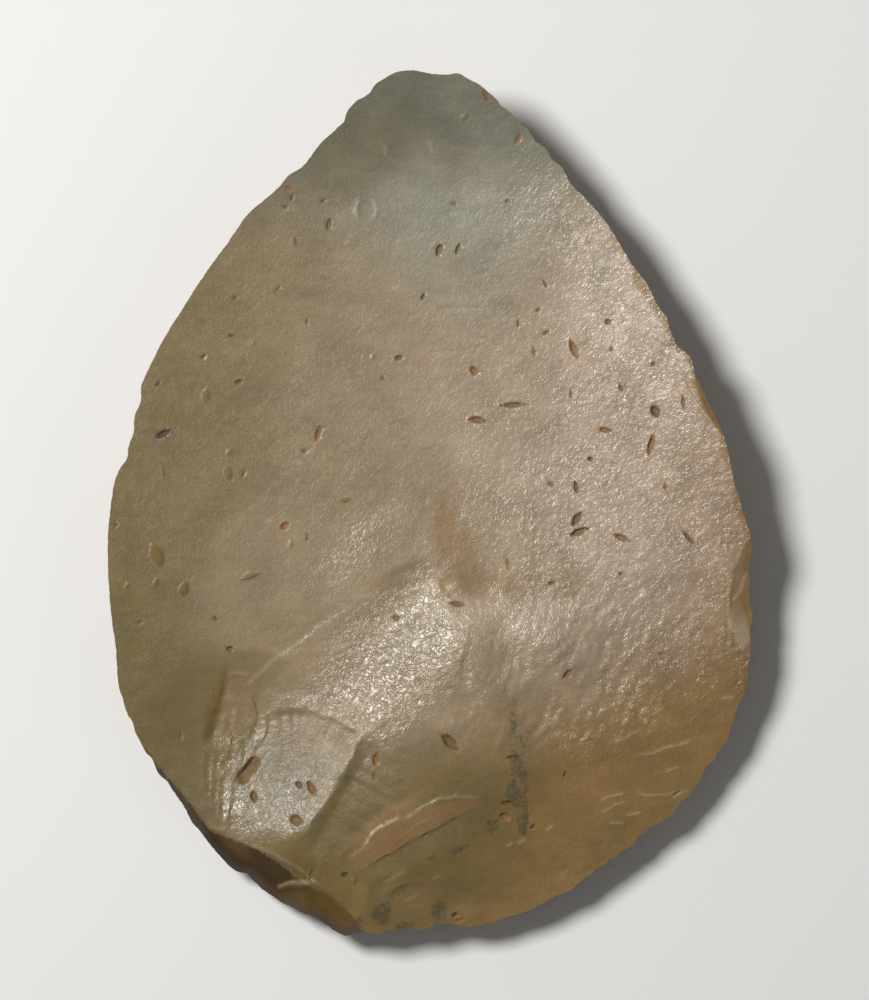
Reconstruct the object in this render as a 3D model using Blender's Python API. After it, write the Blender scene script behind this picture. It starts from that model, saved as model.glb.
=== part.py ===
"""A large flint scraper, one flake struck from a slab and trimmed round its edge.

It lies on the flat skin of the slab, with the split face up, its point towards +Y and its
struck base towards -Y. Lengths are in metres. Places on the flake are shares of its width
and length from the middle, as (across, along), so they follow when its size changes.
"""

import math
import random

import bpy
import numpy as np
from mathutils import Vector
from mathutils.geometry import delaunay_2d_cdt

# The flake in plan
LENGTH = 0.1200
WIDTH = 0.0895

# The split face, above the ground that the flake lies on
BODY_THICKNESS = 0.0098
LEFT_RISE = 0.0022
RIGHT_RISE = 0.0028
TIP_RISE = 0.0026
TIP_TURN = 0.0015
BASE_FALL = 0.0038
LOW_CORNER_FALL = 0.0036

# Where those begin, from -1 at the base's end to 1 at the tip
CORNER_FALL_WHOLE = -0.78
CORNER_FALL_NONE = 0.33
TIP_RISE_START = 0.10
TIP_TURN_START = 0.72
BASE_FALL_START = 0.10

# The bulb that the blow left, a long low swelling from the struck point
STRUCK_POINT = (-0.240, -0.415)
BULB_BEARING = 49.0
BULB_HEIGHT = 0.0025
BULB_LENGTH = 0.0475
BULB_START = 0.0120
BULB_END = 0.0090
BULB_SLANT = -0.45
BULB_LEFT = 0.0138
BULB_RIGHT = 0.0300
BULB_CREST = -0.0010
SHOULDER_PLACE = (0.185, -0.175)
SHOULDER_RADIUS = 0.0095
SHOULDER_HEIGHT = 0.0008

# The underside: the slab's flat skin, and the broad scars that were struck before the flake
SKIN_LENGTH = 0.0640
SKIN_WIDTH = 0.0430
SKIN_PLACE = (0.0, -0.030)

# The trimmed edge, a row of short steep scars struck downwards all round
TRIM_ANGLE = 60.0
TRIM_REACH = 0.0130
TRIM_WIDTH_LEAST = 0.0060
TRIM_WIDTH_MOST = 0.0105
TRIM_RIDGE = 0.0011
TRIM_BITE = 0.00022
EDGE_SLOPE = 0.45
LEAST_THICKNESS = 0.0030
LOWEST_EDGE = 0.0012

# The solid's facets, and the straight legs that stand for a step's bent line
FACET = 0.0021
RIM_FACET = 0.0017
STEP_LEGS = 24

# The outline from the blunt tip, down the left side, along the base and up the right side
OUTLINE = [
    (-0.054, 0.499), (-0.091, 0.480), (-0.131, 0.448), (-0.209, 0.387), (-0.285, 0.338),
    (-0.326, 0.295), (-0.385, 0.225), (-0.446, 0.142), (-0.455, 0.115), (-0.470, 0.063),
    (-0.495, -0.001), (-0.502, -0.077), (-0.494, -0.146), (-0.478, -0.222), (-0.444, -0.285),
    (-0.382, -0.355), (-0.334, -0.401), (-0.260, -0.448), (-0.186, -0.479), (-0.131, -0.499),
    (-0.009, -0.493), (0.079, -0.490), (0.156, -0.471), (0.260, -0.425), (0.344, -0.379),
    (0.410, -0.332), (0.467, -0.262), (0.492, -0.216), (0.500, -0.158), (0.498, -0.071),
    (0.486, -0.007), (0.463, 0.063), (0.439, 0.109), (0.402, 0.169), (0.358, 0.225),
    (0.304, 0.295), (0.228, 0.364), (0.152, 0.434), (0.088, 0.480), (0.051, 0.497),
    (0.001, 0.501),
]  # fmt: skip

# Nicks in the outline: where, half as long as the nick is, and how deep
NICKS = [
    ((-0.131, 0.443), 0.0022, 0.0004),
    ((-0.448, 0.122), 0.0026, 0.0006),
    ((-0.478, 0.050), 0.0020, 0.0004),
    ((0.410, 0.150), 0.0020, 0.0005),
    ((0.372, 0.212), 0.0018, 0.0004),
    ((0.340, -0.378), 0.0016, 0.0007),
    ((0.296, -0.408), 0.0018, 0.0006),
    ((0.040, -0.490), 0.0022, 0.0005),
    ((-0.228, -0.462), 0.0016, 0.0005),
]

# Hollow scars in the split face: middle, bearing of the way down in degrees, half its length
# along that bearing, half its width, depth, and how many degrees it dips along the bearing
FACE_SCARS = [
    ((-0.208, -0.315), 150.0, 0.0078, 0.0096, 0.0009, 13.0),
    ((-0.306, -0.252), 172.0, 0.0036, 0.0080, 0.0007, 3.0),
    ((-0.274, -0.300), 160.0, 0.0026, 0.0052, 0.0005, 8.0),
    ((0.436, 0.112), 24.0, 0.0030, 0.0055, 0.0004, 20.0),
    ((0.494, -0.150), 2.0, 0.0026, 0.0048, 0.0004, 14.0),
]

# Steps across the split face: a bent line (its start, the point it bends towards and its end)
# with the low side on its right, how far down the step goes, how wide its slope is, and how
# far the low side takes to rise again
STEPS = [
    (((0.040, -0.078), (-0.075, -0.080), (-0.286, -0.210)), 0.00040, 0.0011, 0.0065),
    (((-0.212, -0.402), (-0.160, -0.345), (-0.098, -0.258)), 0.00120, 0.0022, 0.0080),
]

# Scars of the struck base, which face outwards
BASE_SCARS = [
    ((-0.356, -0.368), -142.0, 0.0040, 0.0062, 0.0005, 50.0),
    ((-0.254, -0.416), -122.0, 0.0050, 0.0078, 0.0012, 54.0),
    ((-0.168, -0.458), -114.0, 0.0044, 0.0056, 0.0006, 42.0),
]

# Broad scars of the underside: bearing outwards, how far they start from the middle of the skin
# patch as a share of its half size, sideways shift as a share of its width, rise for each
# metre outwards, and the radius of their hollow
BROAD_SCARS = [
    (12.0, 1.02, 0.10, 0.19, 0.110),
    (52.0, 0.84, -0.06, 0.12, 0.160),
    (97.0, 1.06, 0.05, 0.17, 0.085),
    (133.0, 0.96, -0.12, 0.21, 0.070),
    (171.0, 0.94, 0.04, 0.17, 0.140),
    (214.0, 1.06, -0.05, 0.22, 0.075),
    (253.0, 0.88, 0.10, 0.14, 0.150),
    (298.0, 0.98, -0.08, 0.20, 0.090),
    (336.0, 0.90, 0.12, 0.15, 0.120),
]


def place(share):
    """A point of the flake in metres, from its shares of the width and the length."""
    return np.array([share[0] * WIDTH, share[1] * LENGTH])


def heading(degrees):
    """The unit vector of a bearing, counted from +X towards +Y."""
    angle = math.radians(degrees)
    return np.array([math.cos(angle), math.sin(angle)])


def smooth(t):
    """0 below 0, 1 above 1, and a smooth step between."""
    t = np.clip(t, 0.0, 1.0)
    return t * t * (3.0 - 2.0 * t)


def past(share, start):
    """How far a share is past a start, 0 before it and 1 where the share is 1."""
    return np.clip((share - start) / (1.0 - start), 0.0, None)


def smooth_loop(points, steps):
    """A closed curve through the points, with that many steps from each to the next."""
    chords = np.linalg.norm(np.roll(points, -1, axis=0) - points, axis=1)
    before = (points - np.roll(points, 1, axis=0)) / np.roll(chords, 1)[:, None]
    after = (np.roll(points, -1, axis=0) - points) / chords[:, None]
    weight = chords / (chords + np.roll(chords, 1))
    tangents = after * (1.0 - weight)[:, None] + before * weight[:, None]
    curve = []
    for i, start in enumerate(points):
        j = (i + 1) % len(points)
        leave, arrive = tangents[i] * chords[i], tangents[j] * chords[i]
        for t in np.arange(steps) / steps:
            curve.append(
                (2 * t**3 - 3 * t**2 + 1) * start
                + (t**3 - 2 * t**2 + t) * leave
                + (3 * t**2 - 2 * t**3) * points[j]
                + (t**3 - t**2) * arrive
            )
    return np.array(curve)


def evenly(loop, spacing):
    """The closed loop again, as points that lie about that far apart along it."""
    closed = np.vstack([loop, loop[:1]])
    along = np.concatenate([[0.0], np.cumsum(np.linalg.norm(np.diff(closed, axis=0), axis=1))])
    stops = np.linspace(0.0, along[-1], max(12, round(along[-1] / spacing)), endpoint=False)
    return np.column_stack([np.interp(stops, along, closed[:, k]) for k in (0, 1)])


def loop_lengths(loop):
    """How far round the loop each point lies, and the whole way round."""
    steps = np.linalg.norm(np.roll(loop, -1, axis=0) - loop, axis=1)
    return np.concatenate([[0.0], np.cumsum(steps)[:-1]]), steps.sum()


def way_round(a, b, total):
    """The distance from b to a along a closed loop, the short way, with its sign."""
    return (a - b + total / 2.0) % total - total / 2.0


def trim_scars(total):
    """The short scars round the edge: middle and half width along the edge, and steepness."""
    chance = random.Random(11)
    widths = []
    while sum(widths) < total:
        widths.append(chance.uniform(TRIM_WIDTH_LEAST, TRIM_WIDTH_MOST))
    fit = total / sum(widths)
    scars = []
    reached = 0.0
    for width in widths:
        steepness = math.tan(math.radians(TRIM_ANGLE)) * chance.uniform(0.86, 1.14)
        scars.append((reached + width * fit / 2.0, width * fit / 2.0, steepness))
        reached += width * fit
    return scars


def trimmed(loop, scars):
    """The outline with a shallow bite for each trimming scar, and with its nicks."""
    along, total = loop_lengths(loop)
    tangent = np.roll(loop, -1, axis=0) - np.roll(loop, 1, axis=0)
    tangent /= np.linalg.norm(tangent, axis=1)[:, None]
    inward = np.column_stack([-tangent[:, 1], tangent[:, 0]])
    depth = np.zeros(len(loop))
    for middle, half, _ in scars:
        share = way_round(along, middle, total) / half
        depth = np.maximum(depth, TRIM_BITE * (1.0 - share**2))
    for spot, half, deep in NICKS:
        nearest = np.argmin(np.linalg.norm(loop - place(spot), axis=1))
        share = way_round(along, along[nearest], total) / half
        depth = np.maximum(depth, deep * (1.0 - np.abs(share)))
    return loop + inward * depth[:, None]


def edge_distance(points, loop):
    """How far each point lies inside the loop, and how far round the loop its nearest spot is."""
    along, total = loop_lengths(loop)
    step = np.roll(loop, -1, axis=0) - loop
    length = np.linalg.norm(step, axis=1)
    away = np.empty(len(points))
    position = np.empty(len(points))
    for first in range(0, len(points), 2000):
        some = slice(first, first + 2000)
        offset = points[some, None, :] - loop[None, :, :]
        share = np.clip((offset * step).sum(2) / length**2, 0.0, 1.0)
        gap = np.linalg.norm(offset - share[:, :, None] * step, axis=2)
        nearest = gap.argmin(axis=1)
        row = np.arange(len(nearest))
        away[some] = gap[row, nearest]
        position[some] = (along[nearest] + share[row, nearest] * length[nearest]) % total
    return away, position


def inside(points, loop):
    """Whether each point lies inside the loop."""
    x, y = points[:, 0], points[:, 1]
    found = np.zeros(len(points), bool)
    for (x0, y0), (x1, y1) in zip(loop, np.roll(loop, -1, axis=0)):
        crosses = (y0 > y) != (y1 > y)
        if crosses.any():
            found ^= crosses & (x < x0 + (y - y0) * (x1 - x0) / (y1 - y0))
    return found


def bulb(points):
    """Height that the bulb adds: steep on the left, long on the right, with a blunt slanted end."""
    axis = heading(BULB_BEARING)
    offset = points - place(STRUCK_POINT)
    ahead = offset @ axis
    left = offset @ np.array([-axis[1], axis[0]]) - BULB_CREST
    share = np.clip(np.where(left > 0.0, left / BULB_LEFT, -left / BULB_RIGHT), 0.0, 1.0)
    begins = smooth(ahead / BULB_START + 0.5)
    ends = 1.0 - smooth((ahead + BULB_SLANT * left - BULB_LENGTH + BULB_END) / BULB_END)
    return BULB_HEIGHT * (1.0 - share**2) ** np.where(left > 0.0, 3.0, 2.0) * begins * ends


def shoulder(points):
    """Height of the small dome beside the end of the bulb."""
    share = np.linalg.norm(points - place(SHOULDER_PLACE), axis=1) / SHOULDER_RADIUS
    return SHOULDER_HEIGHT * np.clip(1.0 - share**2, 0.0, 1.0) ** 2


def split_face(points):
    """Height of the split face: hollow towards the tip, and falling away round the base."""
    across = 2.0 * points[:, 0] / WIDTH
    along = 2.0 * points[:, 1] / LENGTH
    upper = smooth((along - CORNER_FALL_WHOLE) / (CORNER_FALL_NONE - CORNER_FALL_WHOLE))
    side = np.where(across > 0.0, RIGHT_RISE * upper - LOW_CORNER_FALL * (1.0 - upper), LEFT_RISE)
    height = BODY_THICKNESS + side * across**2
    height += TIP_RISE * past(along, TIP_RISE_START) ** 2
    height += TIP_TURN * past(along, TIP_TURN_START) ** 1.5
    height -= BASE_FALL * past(-along, BASE_FALL_START) ** 2
    return height + bulb(points) + shoulder(points)


def step_drop(points, line, drop, width, reach):
    """How far a step lowers each point: most just past its line, fading away and at its ends."""
    start, bend, end = [place(share) for share in line]
    t = np.linspace(0.0, 1.0, STEP_LEGS + 1)[:, None]
    corners = (1.0 - t) ** 2 * start + 2.0 * t * (1.0 - t) * bend + t**2 * end
    legs = np.diff(corners, axis=0)
    lengths = np.linalg.norm(legs, axis=1)
    offset = points[:, None, :] - corners[None, :-1, :]
    share = np.clip((offset * legs).sum(2) / lengths**2, 0.0, 1.0)
    gap = np.linalg.norm(offset - share[:, :, None] * legs, axis=2)
    leg = gap.argmin(axis=1)
    row = np.arange(len(points))
    turned = legs[leg, 0] * offset[row, leg, 1] - legs[leg, 1] * offset[row, leg, 0]
    before = np.concatenate([[0.0], np.cumsum(lengths)[:-1]])
    along = (before[leg] + share[row, leg] * lengths[leg]) / lengths.sum()
    ends = smooth(4.0 * along) * smooth(4.0 * (1.0 - along))
    beside = gap[row, leg]
    shape = np.minimum(1.0, beside / width) * np.exp(-((beside / reach) ** 2))
    return np.where(turned < 0.0, drop * ends * shape, 0.0)


def scar_surface(points, scar):
    """A hollow scar's own surface, which dips along its bearing, wherever it would cut."""
    spot, bearing, half_length, half_width, depth, dip = scar
    ahead = heading(bearing)
    offset = points - place(spot)
    along = offset @ ahead
    aside = offset @ np.array([-ahead[1], ahead[0]])
    rim = split_face(place(spot)[None, :])[0]
    bowl = (along / half_length) ** 2 + (aside / half_width) ** 2
    return rim - math.tan(math.radians(dip)) * along - depth * (1.0 - bowl)


def upper_surface(points):
    """Height of the finished split face, and a number that changes where one scar meets another."""
    height = split_face(points)
    made_by = np.zeros(len(points), int)
    for number, scar in enumerate(FACE_SCARS, start=1):
        cut = scar_surface(points, scar)
        made_by[cut < height] = number
        height = np.minimum(height, cut)
    for number, (line, drop, width, reach) in enumerate(STEPS, start=1):
        lowered = step_drop(points, line, drop, width, reach)
        made_by[lowered > 0.0] += 100 * number
        height = height - lowered
    for number, scar in enumerate(BASE_SCARS, start=1):
        cut = scar_surface(points, scar)
        made_by[cut < height] = -number
        height = np.minimum(height, cut)
    return np.maximum(height, LOWEST_EDGE), made_by


def lower_surface(points, rim, plain, scars):
    """Height of the underside, and the number of the scar that made each point, 0 for skin."""
    height = np.zeros(len(points))
    made_by = np.zeros(len(points), int)
    offset = points - place(SKIN_PLACE)
    for number, (bearing, start, shift, rise, hollow) in enumerate(BROAD_SCARS, start=1):
        out = heading(bearing)
        reach = start * math.hypot(out[0] * SKIN_WIDTH / 2.0, out[1] * SKIN_LENGTH / 2.0)
        aside = offset @ np.array([-out[1], out[0]]) - shift * SKIN_WIDTH
        cut = rise * (offset @ out - reach) - aside**2 / (2.0 * hollow)
        made_by[cut > height] = number
        height = np.maximum(height, cut)
    away = edge_distance(points, rim)[0]
    position = edge_distance(points, plain)[1]
    along, total = loop_lengths(plain)
    edge_heights = upper_surface(plain)[0]
    edge = np.interp(position, np.append(along, total), np.append(edge_heights, edge_heights[0]))
    for number, (middle, half, steepness) in enumerate(scars, start=1 + len(BROAD_SCARS)):
        share = way_round(position, middle, total) / half
        drop = steepness * away / (1.0 + away / TRIM_REACH)
        cut = edge - drop - TRIM_RIDGE * share**2 * np.minimum(1.0, away / half)
        made_by[cut > height] = number
        height = np.maximum(height, cut)
    thickness = np.minimum(EDGE_SLOPE * away, LEAST_THICKNESS)
    height = np.minimum(height, upper_surface(points)[0] - thickness)
    return np.maximum(height, 0.0), made_by


def lattice(loop, spacing):
    """Points in staggered rows that fill the loop, a little clear of it."""
    low, high = loop.min(axis=0), loop.max(axis=0)
    rows = []
    row_step = spacing * math.sqrt(3.0) / 2.0
    for number, y in enumerate(np.arange(low[1] + row_step, high[1], row_step)):
        xs = np.arange(low[0] + spacing * (0.5 if number % 2 else 1.0), high[0], spacing)
        rows.append(np.column_stack([xs, np.full(len(xs), y)]))
    points = np.vstack(rows)
    points = points[inside(points, loop)]
    return points[edge_distance(points, loop)[0] > 0.6 * spacing]


def triangles(loop, points):
    """The points of the loop and inside it joined by triangles that face up."""
    everything = [Vector(p) for p in np.vstack([loop, points])]
    rim = list(range(len(loop)))
    found = delaunay_2d_cdt(everything, [], [rim], 1, 1e-7)
    first = [source[0] for source in found[3]]
    return np.array([[first[i] for i in face] for face in found[2]])


def sharpened(loop, points, surface, spacing):
    """The points again, with points along each ridge between two scars in place of those by it."""
    everything = np.vstack([loop, points])
    faces = triangles(loop, points)
    edges = np.vstack([faces[:, [0, 1]], faces[:, [1, 2]], faces[:, [2, 0]]])
    edges = np.unique(np.sort(edges, axis=1), axis=0)
    made_by = surface(everything)[1]
    edges = edges[made_by[edges[:, 0]] != made_by[edges[:, 1]]]
    near, far = everything[edges[:, 0]], everything[edges[:, 1]]
    low, high = np.zeros(len(edges)), np.ones(len(edges))
    for _ in range(10):
        middle = (low + high) / 2.0
        same = surface(near + (far - near) * middle[:, None])[1] == made_by[edges[:, 0]]
        low, high = np.where(same, middle, low), np.where(same, high, middle)
    crossings = near + (far - near) * high[:, None]
    crossings = crossings[edge_distance(crossings, loop)[0] > 0.5 * spacing]
    ridge = np.empty((0, 2))
    for spot in crossings:
        if (np.linalg.norm(ridge - spot, axis=1) > 0.5 * spacing).all():
            ridge = np.vstack([ridge, spot])
    beside = np.linalg.norm(points[:, None, :] - ridge[None, :, :], axis=2).min(axis=1)
    return np.vstack([points[beside > 0.7 * spacing], ridge])


def scraper_mesh():
    """The whole flake as one closed mesh: split face and underside meet at the edge."""
    plain = evenly(smooth_loop(np.array([place(p) for p in OUTLINE]), 12), RIM_FACET / 4.0)
    scars = trim_scars(loop_lengths(plain)[1])
    rim = evenly(trimmed(plain, scars), RIM_FACET)
    rim_heights = upper_surface(rim)[0]
    filling = lattice(rim, FACET)

    def underside(points):
        return lower_surface(points, rim, plain, scars)

    upper = sharpened(rim, filling, upper_surface, FACET)
    lower = sharpened(rim, filling, underside, FACET)
    around = [FACET * heading(60.0 * k) for k in range(6)]
    on_skin = np.all([underside(lower + step)[0] == 0.0 for step in around], axis=0)
    lower = lower[~on_skin]
    points = np.vstack(
        [
            np.column_stack([rim, rim_heights]),
            np.column_stack([upper, upper_surface(upper)[0]]),
            np.column_stack([lower, underside(lower)[0]]),
        ]
    )
    top = triangles(rim, upper)
    bottom = triangles(rim, lower)
    bottom = np.where(bottom >= len(rim), bottom + len(upper), bottom)[:, ::-1]
    mesh = bpy.data.meshes.new("scraper")
    mesh.from_pydata(points.tolist(), [], np.vstack([top, bottom]).tolist())
    mesh.update()
    return mesh


def flint():
    """Patinated buff flint with a silky shine."""
    material = bpy.data.materials.new("flint")
    material.use_nodes = True
    shader = material.node_tree.nodes["Principled BSDF"]
    shader.inputs["Base Color"].default_value = (0.40, 0.31, 0.19, 1.0)
    shader.inputs["Roughness"].default_value = 0.42
    shader.inputs["Metallic"].default_value = 0.0
    return material


def build():
    """Clears the scene and builds the scraper."""
    for old in list(bpy.data.objects):
        bpy.data.objects.remove(old)
    scraper = bpy.data.objects.new("scraper", scraper_mesh())
    scraper.data.materials.append(flint())
    scraper.data.shade_smooth()
    scraper.data.set_sharp_from_angle(angle=math.radians(24.0))
    bpy.context.scene.collection.objects.link(scraper)


build()
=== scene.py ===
"""Looks of the large flint scraper: its split face in fine relief, its colours, floor and light.

The flake is made again here at a finer pitch from the same sizes and shapes as the solid, with
fossils, ripples, streaks and chips on top. Lengths are in metres. Places are shares of the
width and length from the flake's middle, or photograph pixels where they come from it.
"""

import math
import random

import bpy
import numpy as np
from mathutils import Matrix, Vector, kdtree
from mathutils.geometry import delaunay_2d_cdt


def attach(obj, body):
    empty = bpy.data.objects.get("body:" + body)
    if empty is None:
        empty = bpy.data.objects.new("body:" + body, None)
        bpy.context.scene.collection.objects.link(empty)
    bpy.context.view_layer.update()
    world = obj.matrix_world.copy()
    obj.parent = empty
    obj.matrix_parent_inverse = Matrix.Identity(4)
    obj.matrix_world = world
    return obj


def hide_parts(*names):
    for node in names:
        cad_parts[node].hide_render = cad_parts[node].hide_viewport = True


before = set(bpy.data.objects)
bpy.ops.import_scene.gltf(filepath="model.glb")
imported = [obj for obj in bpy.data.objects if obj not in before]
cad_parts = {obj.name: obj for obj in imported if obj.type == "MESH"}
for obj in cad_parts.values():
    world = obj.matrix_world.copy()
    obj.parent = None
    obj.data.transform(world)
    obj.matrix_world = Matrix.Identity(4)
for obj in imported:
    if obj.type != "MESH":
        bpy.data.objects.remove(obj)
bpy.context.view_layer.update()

# The flake in plan, and how it lies in the photograph
LENGTH = 0.1200
WIDTH = 0.0895
PHOTO_MIDDLE = (429.5, 504.0)
PIXEL = LENGTH / 862.0

# The split face, above the floor that the flake lies on
BODY_THICKNESS = 0.0098
LEFT_RISE = 0.0022
RIGHT_RISE = 0.0028
TIP_RISE = 0.0026
TIP_TURN = 0.0015
BASE_FALL = 0.0038
LOW_CORNER_FALL = 0.0036

# Where those begin, from -1 at the base's end to 1 at the tip
CORNER_FALL_WHOLE = -0.78
CORNER_FALL_NONE = 0.33
TIP_RISE_START = 0.10
TIP_TURN_START = 0.72
BASE_FALL_START = 0.10

# The bulb, a long low swelling from the struck point
STRUCK_POINT = (-0.240, -0.415)
BULB_BEARING = 49.0
BULB_HEIGHT = 0.0025
BULB_LENGTH = 0.0475
BULB_START = 0.0120
BULB_END = 0.0090
BULB_SLANT = -0.45
BULB_LEFT = 0.0138
BULB_RIGHT = 0.0300
BULB_CREST = -0.0010
SHOULDER_PLACE = (0.185, -0.175)
SHOULDER_RADIUS = 0.0095
SHOULDER_HEIGHT = 0.0008

# The underside: the slab's flat skin, and the broad scars round it
SKIN_LENGTH = 0.0640
SKIN_WIDTH = 0.0430
SKIN_PLACE = (0.0, -0.030)

# Fossils longer than this many photograph pixels have blunt ends
BLUNT_FROM = 32.0

# Fossils sunk by more than this share of their width have walls that much steeper
DEEP_FROM = 0.1
DEEP_STEEPER = 1.5

# From this length over width on, fossils get pointed, fully so at 1 more
POINTED_FROM = 1.4

# A fossil's profile, out from its middle with its rim at 1: where the hollow begins and how wide
# its slope is, the lip's height, place and width, where its colour begins and how softly, and
# the rings of the mesh's points. FOSSIL_REACH is how far it reaches, in its own lengths.
HOLLOW_RIM = 1.04
HOLLOW_SLOPE = 0.6
LIP_HEIGHT = 0.10
LIP_PLACE = 1.25
LIP_WIDTH = 0.22
COLOUR_RIM = 1.10
COLOUR_SOFT = 0.25
FOSSIL_RINGS = (0.45, 0.82, 1.0, 1.22)
FOSSIL_REACH = 1.2

# Fine raised lines, in their half widths: how far they reach, and where points lie beside them.
# Then how quickly their ends fade, and how many line pitches their points are apart.
WELT_REACH = 5.0
WELT_ASIDE = 1.3
WELT_FADE = 5.0
WELT_SPACING = 1.4

# How strong the colours of hollow and of raised fossils and of fine raised lines are; the raised
# lines' pale cream is partly a paler worn crest and partly painted highlight
FOSSIL_TINT = 0.75
RAISED_TINT = 0.40
WELT_TINT = 0.42

# The trimmed edge
TRIM_ANGLE = 60.0
TRIM_REACH = 0.0130
TRIM_WIDTH_LEAST = 0.0060
TRIM_WIDTH_MOST = 0.0105
TRIM_RIDGE = 0.0011
TRIM_SEED = 11
TRIM_SPREAD = 0.14
EDGE_SLOPE = 0.45
LEAST_THICKNESS = 0.0030
LOWEST_EDGE = 0.0012

# How far apart the mesh's points are: on the split face, there where the grain is livelier than
# FINE_FROM, on the underside, along the edge, along fine lines, and on the plain outline
FACE_PITCH = 0.00042
FINE_PITCH = 0.00028
FINE_FROM = 0.62
UNDER_PITCH = 0.00100
RIM_PITCH = 0.00028
LINE_PITCH = 0.00022
PLAIN_PITCH = 0.000425

# How many straight legs a curve has: between two points of the outline, in a step, in a fine
# line and in a band's border
OUTLINE_LEGS = 5
STEP_LEGS = 64
WELT_LEGS = 12
BAND_LEGS = 24

# How far points of the mesh are kept apart, as shares of their pitch: a lattice from the rim
# and from special points, special points from each other and from the rim, coarse from fine
LATTICE_TO_RIM = 0.6
LATTICE_TO_SPECIAL = 0.62
SPECIAL_APART = 0.6
SPECIAL_TO_RIM = 0.5
COARSE_TO_FINE = 0.8

# How often a crossing from one scar to another is halved, and what counts as the same point
HALVINGS = 9
SAME_POINT = 1e-8

# How many points are measured against the outline at once
BATCH = 1000

# The random waves' table of directions: its size, where it begins, and what the waves' height
# is multiplied by
DIRECTIONS = 64
DIRECTIONS_START = (31.0, 17.0)
WAVE_GAIN = 1.5

# Winding ridges: how far they sway and how long each sway is, as shares of their size, and how
# narrow they are
SWAY = 0.35
SWAY_SIZE = 1.2
NARROWNESS = 2.4

# Steps: how strong they are, the waves in that, how long a step counts as for those, and how
# many reaches away it is left out
STEP_LEVEL = 0.9
STEP_WAVES = (0.5, 0.0012, 93)
STEP_LENGTH = 0.02
STEP_REACHES = 3.0

# How far the edge is crumbled inwards, by waves of two sizes: depth, size and seed
CRUMBLES = [(0.00006, 0.0021, 5), (0.00011, 0.0008, 6)]

# Waves in the scars of the underside, which begin that far from the edge
UNDER_WAVES = (0.00005, 0.0022, 71)
UNDER_WAVES_START = 0.004

# How far drawn lines stray sideways, and the size and seeds of the waves that they stray by
STRAY = 0.00020
STRAY_SIZE = 0.0019
STRAY_SEEDS = (91, 92)

# Random waves added up, each with its strength, size, seed and, where drawn out, its bearing and
# stretch: the wandering borders of colours, patches of lively grain, streaks, and fossils' rims
WANDER = [(14.0, 0.0110, 31), (5.0, 0.0040, 32)]
PATCHY = [(0.6, 0.0042, 27), (0.6, 0.0021, 42)]
STREAKS = [(0.9, 0.0011, 38, 88.0, 4.5), (0.5, 0.0030, 39)]
FOSSIL_RIM = [(0.14, 0.00075, 62), (0.08, 0.0004, 63)]

# Where the grain turns lively, across the photograph in pixels, and within how far
LIVELY_FROM = 420.0
LIVELY_WITHIN = 200.0

# The grain's liveliness on the far left, and what patches multiply it by: at least, how much
# more at most, and how strongly their waves change that
LIVELY_LEFT = 0.10
PATCHY_LEAST = 0.55
PATCHY_MORE = 0.75
PATCHY_CONTRAST = 1.3

# What is left of the fine relief in the scars of the edge and the base
SCAR_RELIEF = 0.3

# How the scars' borders are rounded on the far left, and where that begins
SOFT_BORDER = 0.00022
SOFT_FROM = -0.0265
SOFT_WITHIN = 0.0040

# Codes that tell which scar made a point: scars of the edge, chips and the struck base count
# from these, and a step adds its number times STEP_CODE where it drops by more than LEAST_DROP
FIRST_EDGE_SCAR = 4
FIRST_CHIP = 20
FIRST_STRUCK = 60
STEP_CODE = 100
LEAST_DROP = 0.000001

# The outline against the background, in photograph pixels, from the tip down the left side
OUTLINE = [
    (393, 74), (383, 80), (375, 85), (371, 91), (365, 97), (358, 100), (352, 106), (347, 112),
    (345, 119), (343, 123), (337, 128), (330, 135), (323, 141), (308, 160), (303, 166),
    (288, 176), (279, 187), (247, 215), (235, 232), (218, 256), (200, 281), (181, 311),
    (163, 340), (152, 362), (144, 379), (141, 387), (141, 401), (136, 412), (134, 420),
    (134, 430), (128, 448), (127, 459), (123, 464), (118, 472), (113, 490), (110, 513),
    (108, 535), (108, 562), (109, 590), (110, 602), (112, 622), (115, 640), (117, 665),
    (119, 688), (122, 697), (129, 717), (132, 721), (135, 732), (140, 741), (146, 753),
    (152, 759), (155, 767), (160, 776), (166, 781), (172, 790), (179, 800), (186, 812),
    (191, 822), (200, 832), (207, 842), (215, 852), (222, 860), (232, 870), (240, 874),
    (247, 875), (252, 881), (262, 891), (273, 898), (280, 903), (290, 908), (300, 913),
    (317, 919), (330, 929), (340, 935), (347, 937), (353, 934), (362, 933), (380, 934),
    (389, 931), (405, 929), (414, 929), (419, 931), (431, 927), (441, 924), (452, 925),
    (468, 928), (480, 926), (492, 924), (503, 919), (515, 916), (530, 911), (540, 906),
    (550, 900), (560, 895), (570, 892), (580, 883), (590, 876), (600, 868), (607, 865),
    (609, 860), (617, 858), (621, 852), (630, 848), (636, 843), (638, 837), (646, 834),
    (648, 830), (655, 826), (668, 819), (675, 813), (680, 805), (686, 799), (693, 792),
    (697, 785), (702, 779), (706, 769), (715, 760), (718, 753), (728, 740), (731, 730),
    (734, 722), (737, 710), (741, 702), (746, 689), (748, 670), (751, 650), (751, 638),
    (750, 628), (753, 619), (750, 600), (750, 580), (749, 570), (752, 553), (751, 540),
    (748, 527), (742, 508), (737, 490), (734, 480), (730, 460), (725, 440), (721, 430),
    (713, 411), (703, 391), (695, 373), (690, 357), (684, 351), (677, 346), (674, 339),
    (669, 328), (667, 318), (660, 309), (655, 300), (646, 282), (636, 270), (625, 253),
    (608, 225), (584, 197), (571, 184), (560, 165), (552, 159), (547, 150), (534, 140),
    (530, 131), (522, 125), (506, 109), (502, 107), (497, 100), (488, 92), (481, 86),
    (468, 79), (460, 74), (447, 75), (425, 73), (417, 71),
]  # fmt: skip

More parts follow.
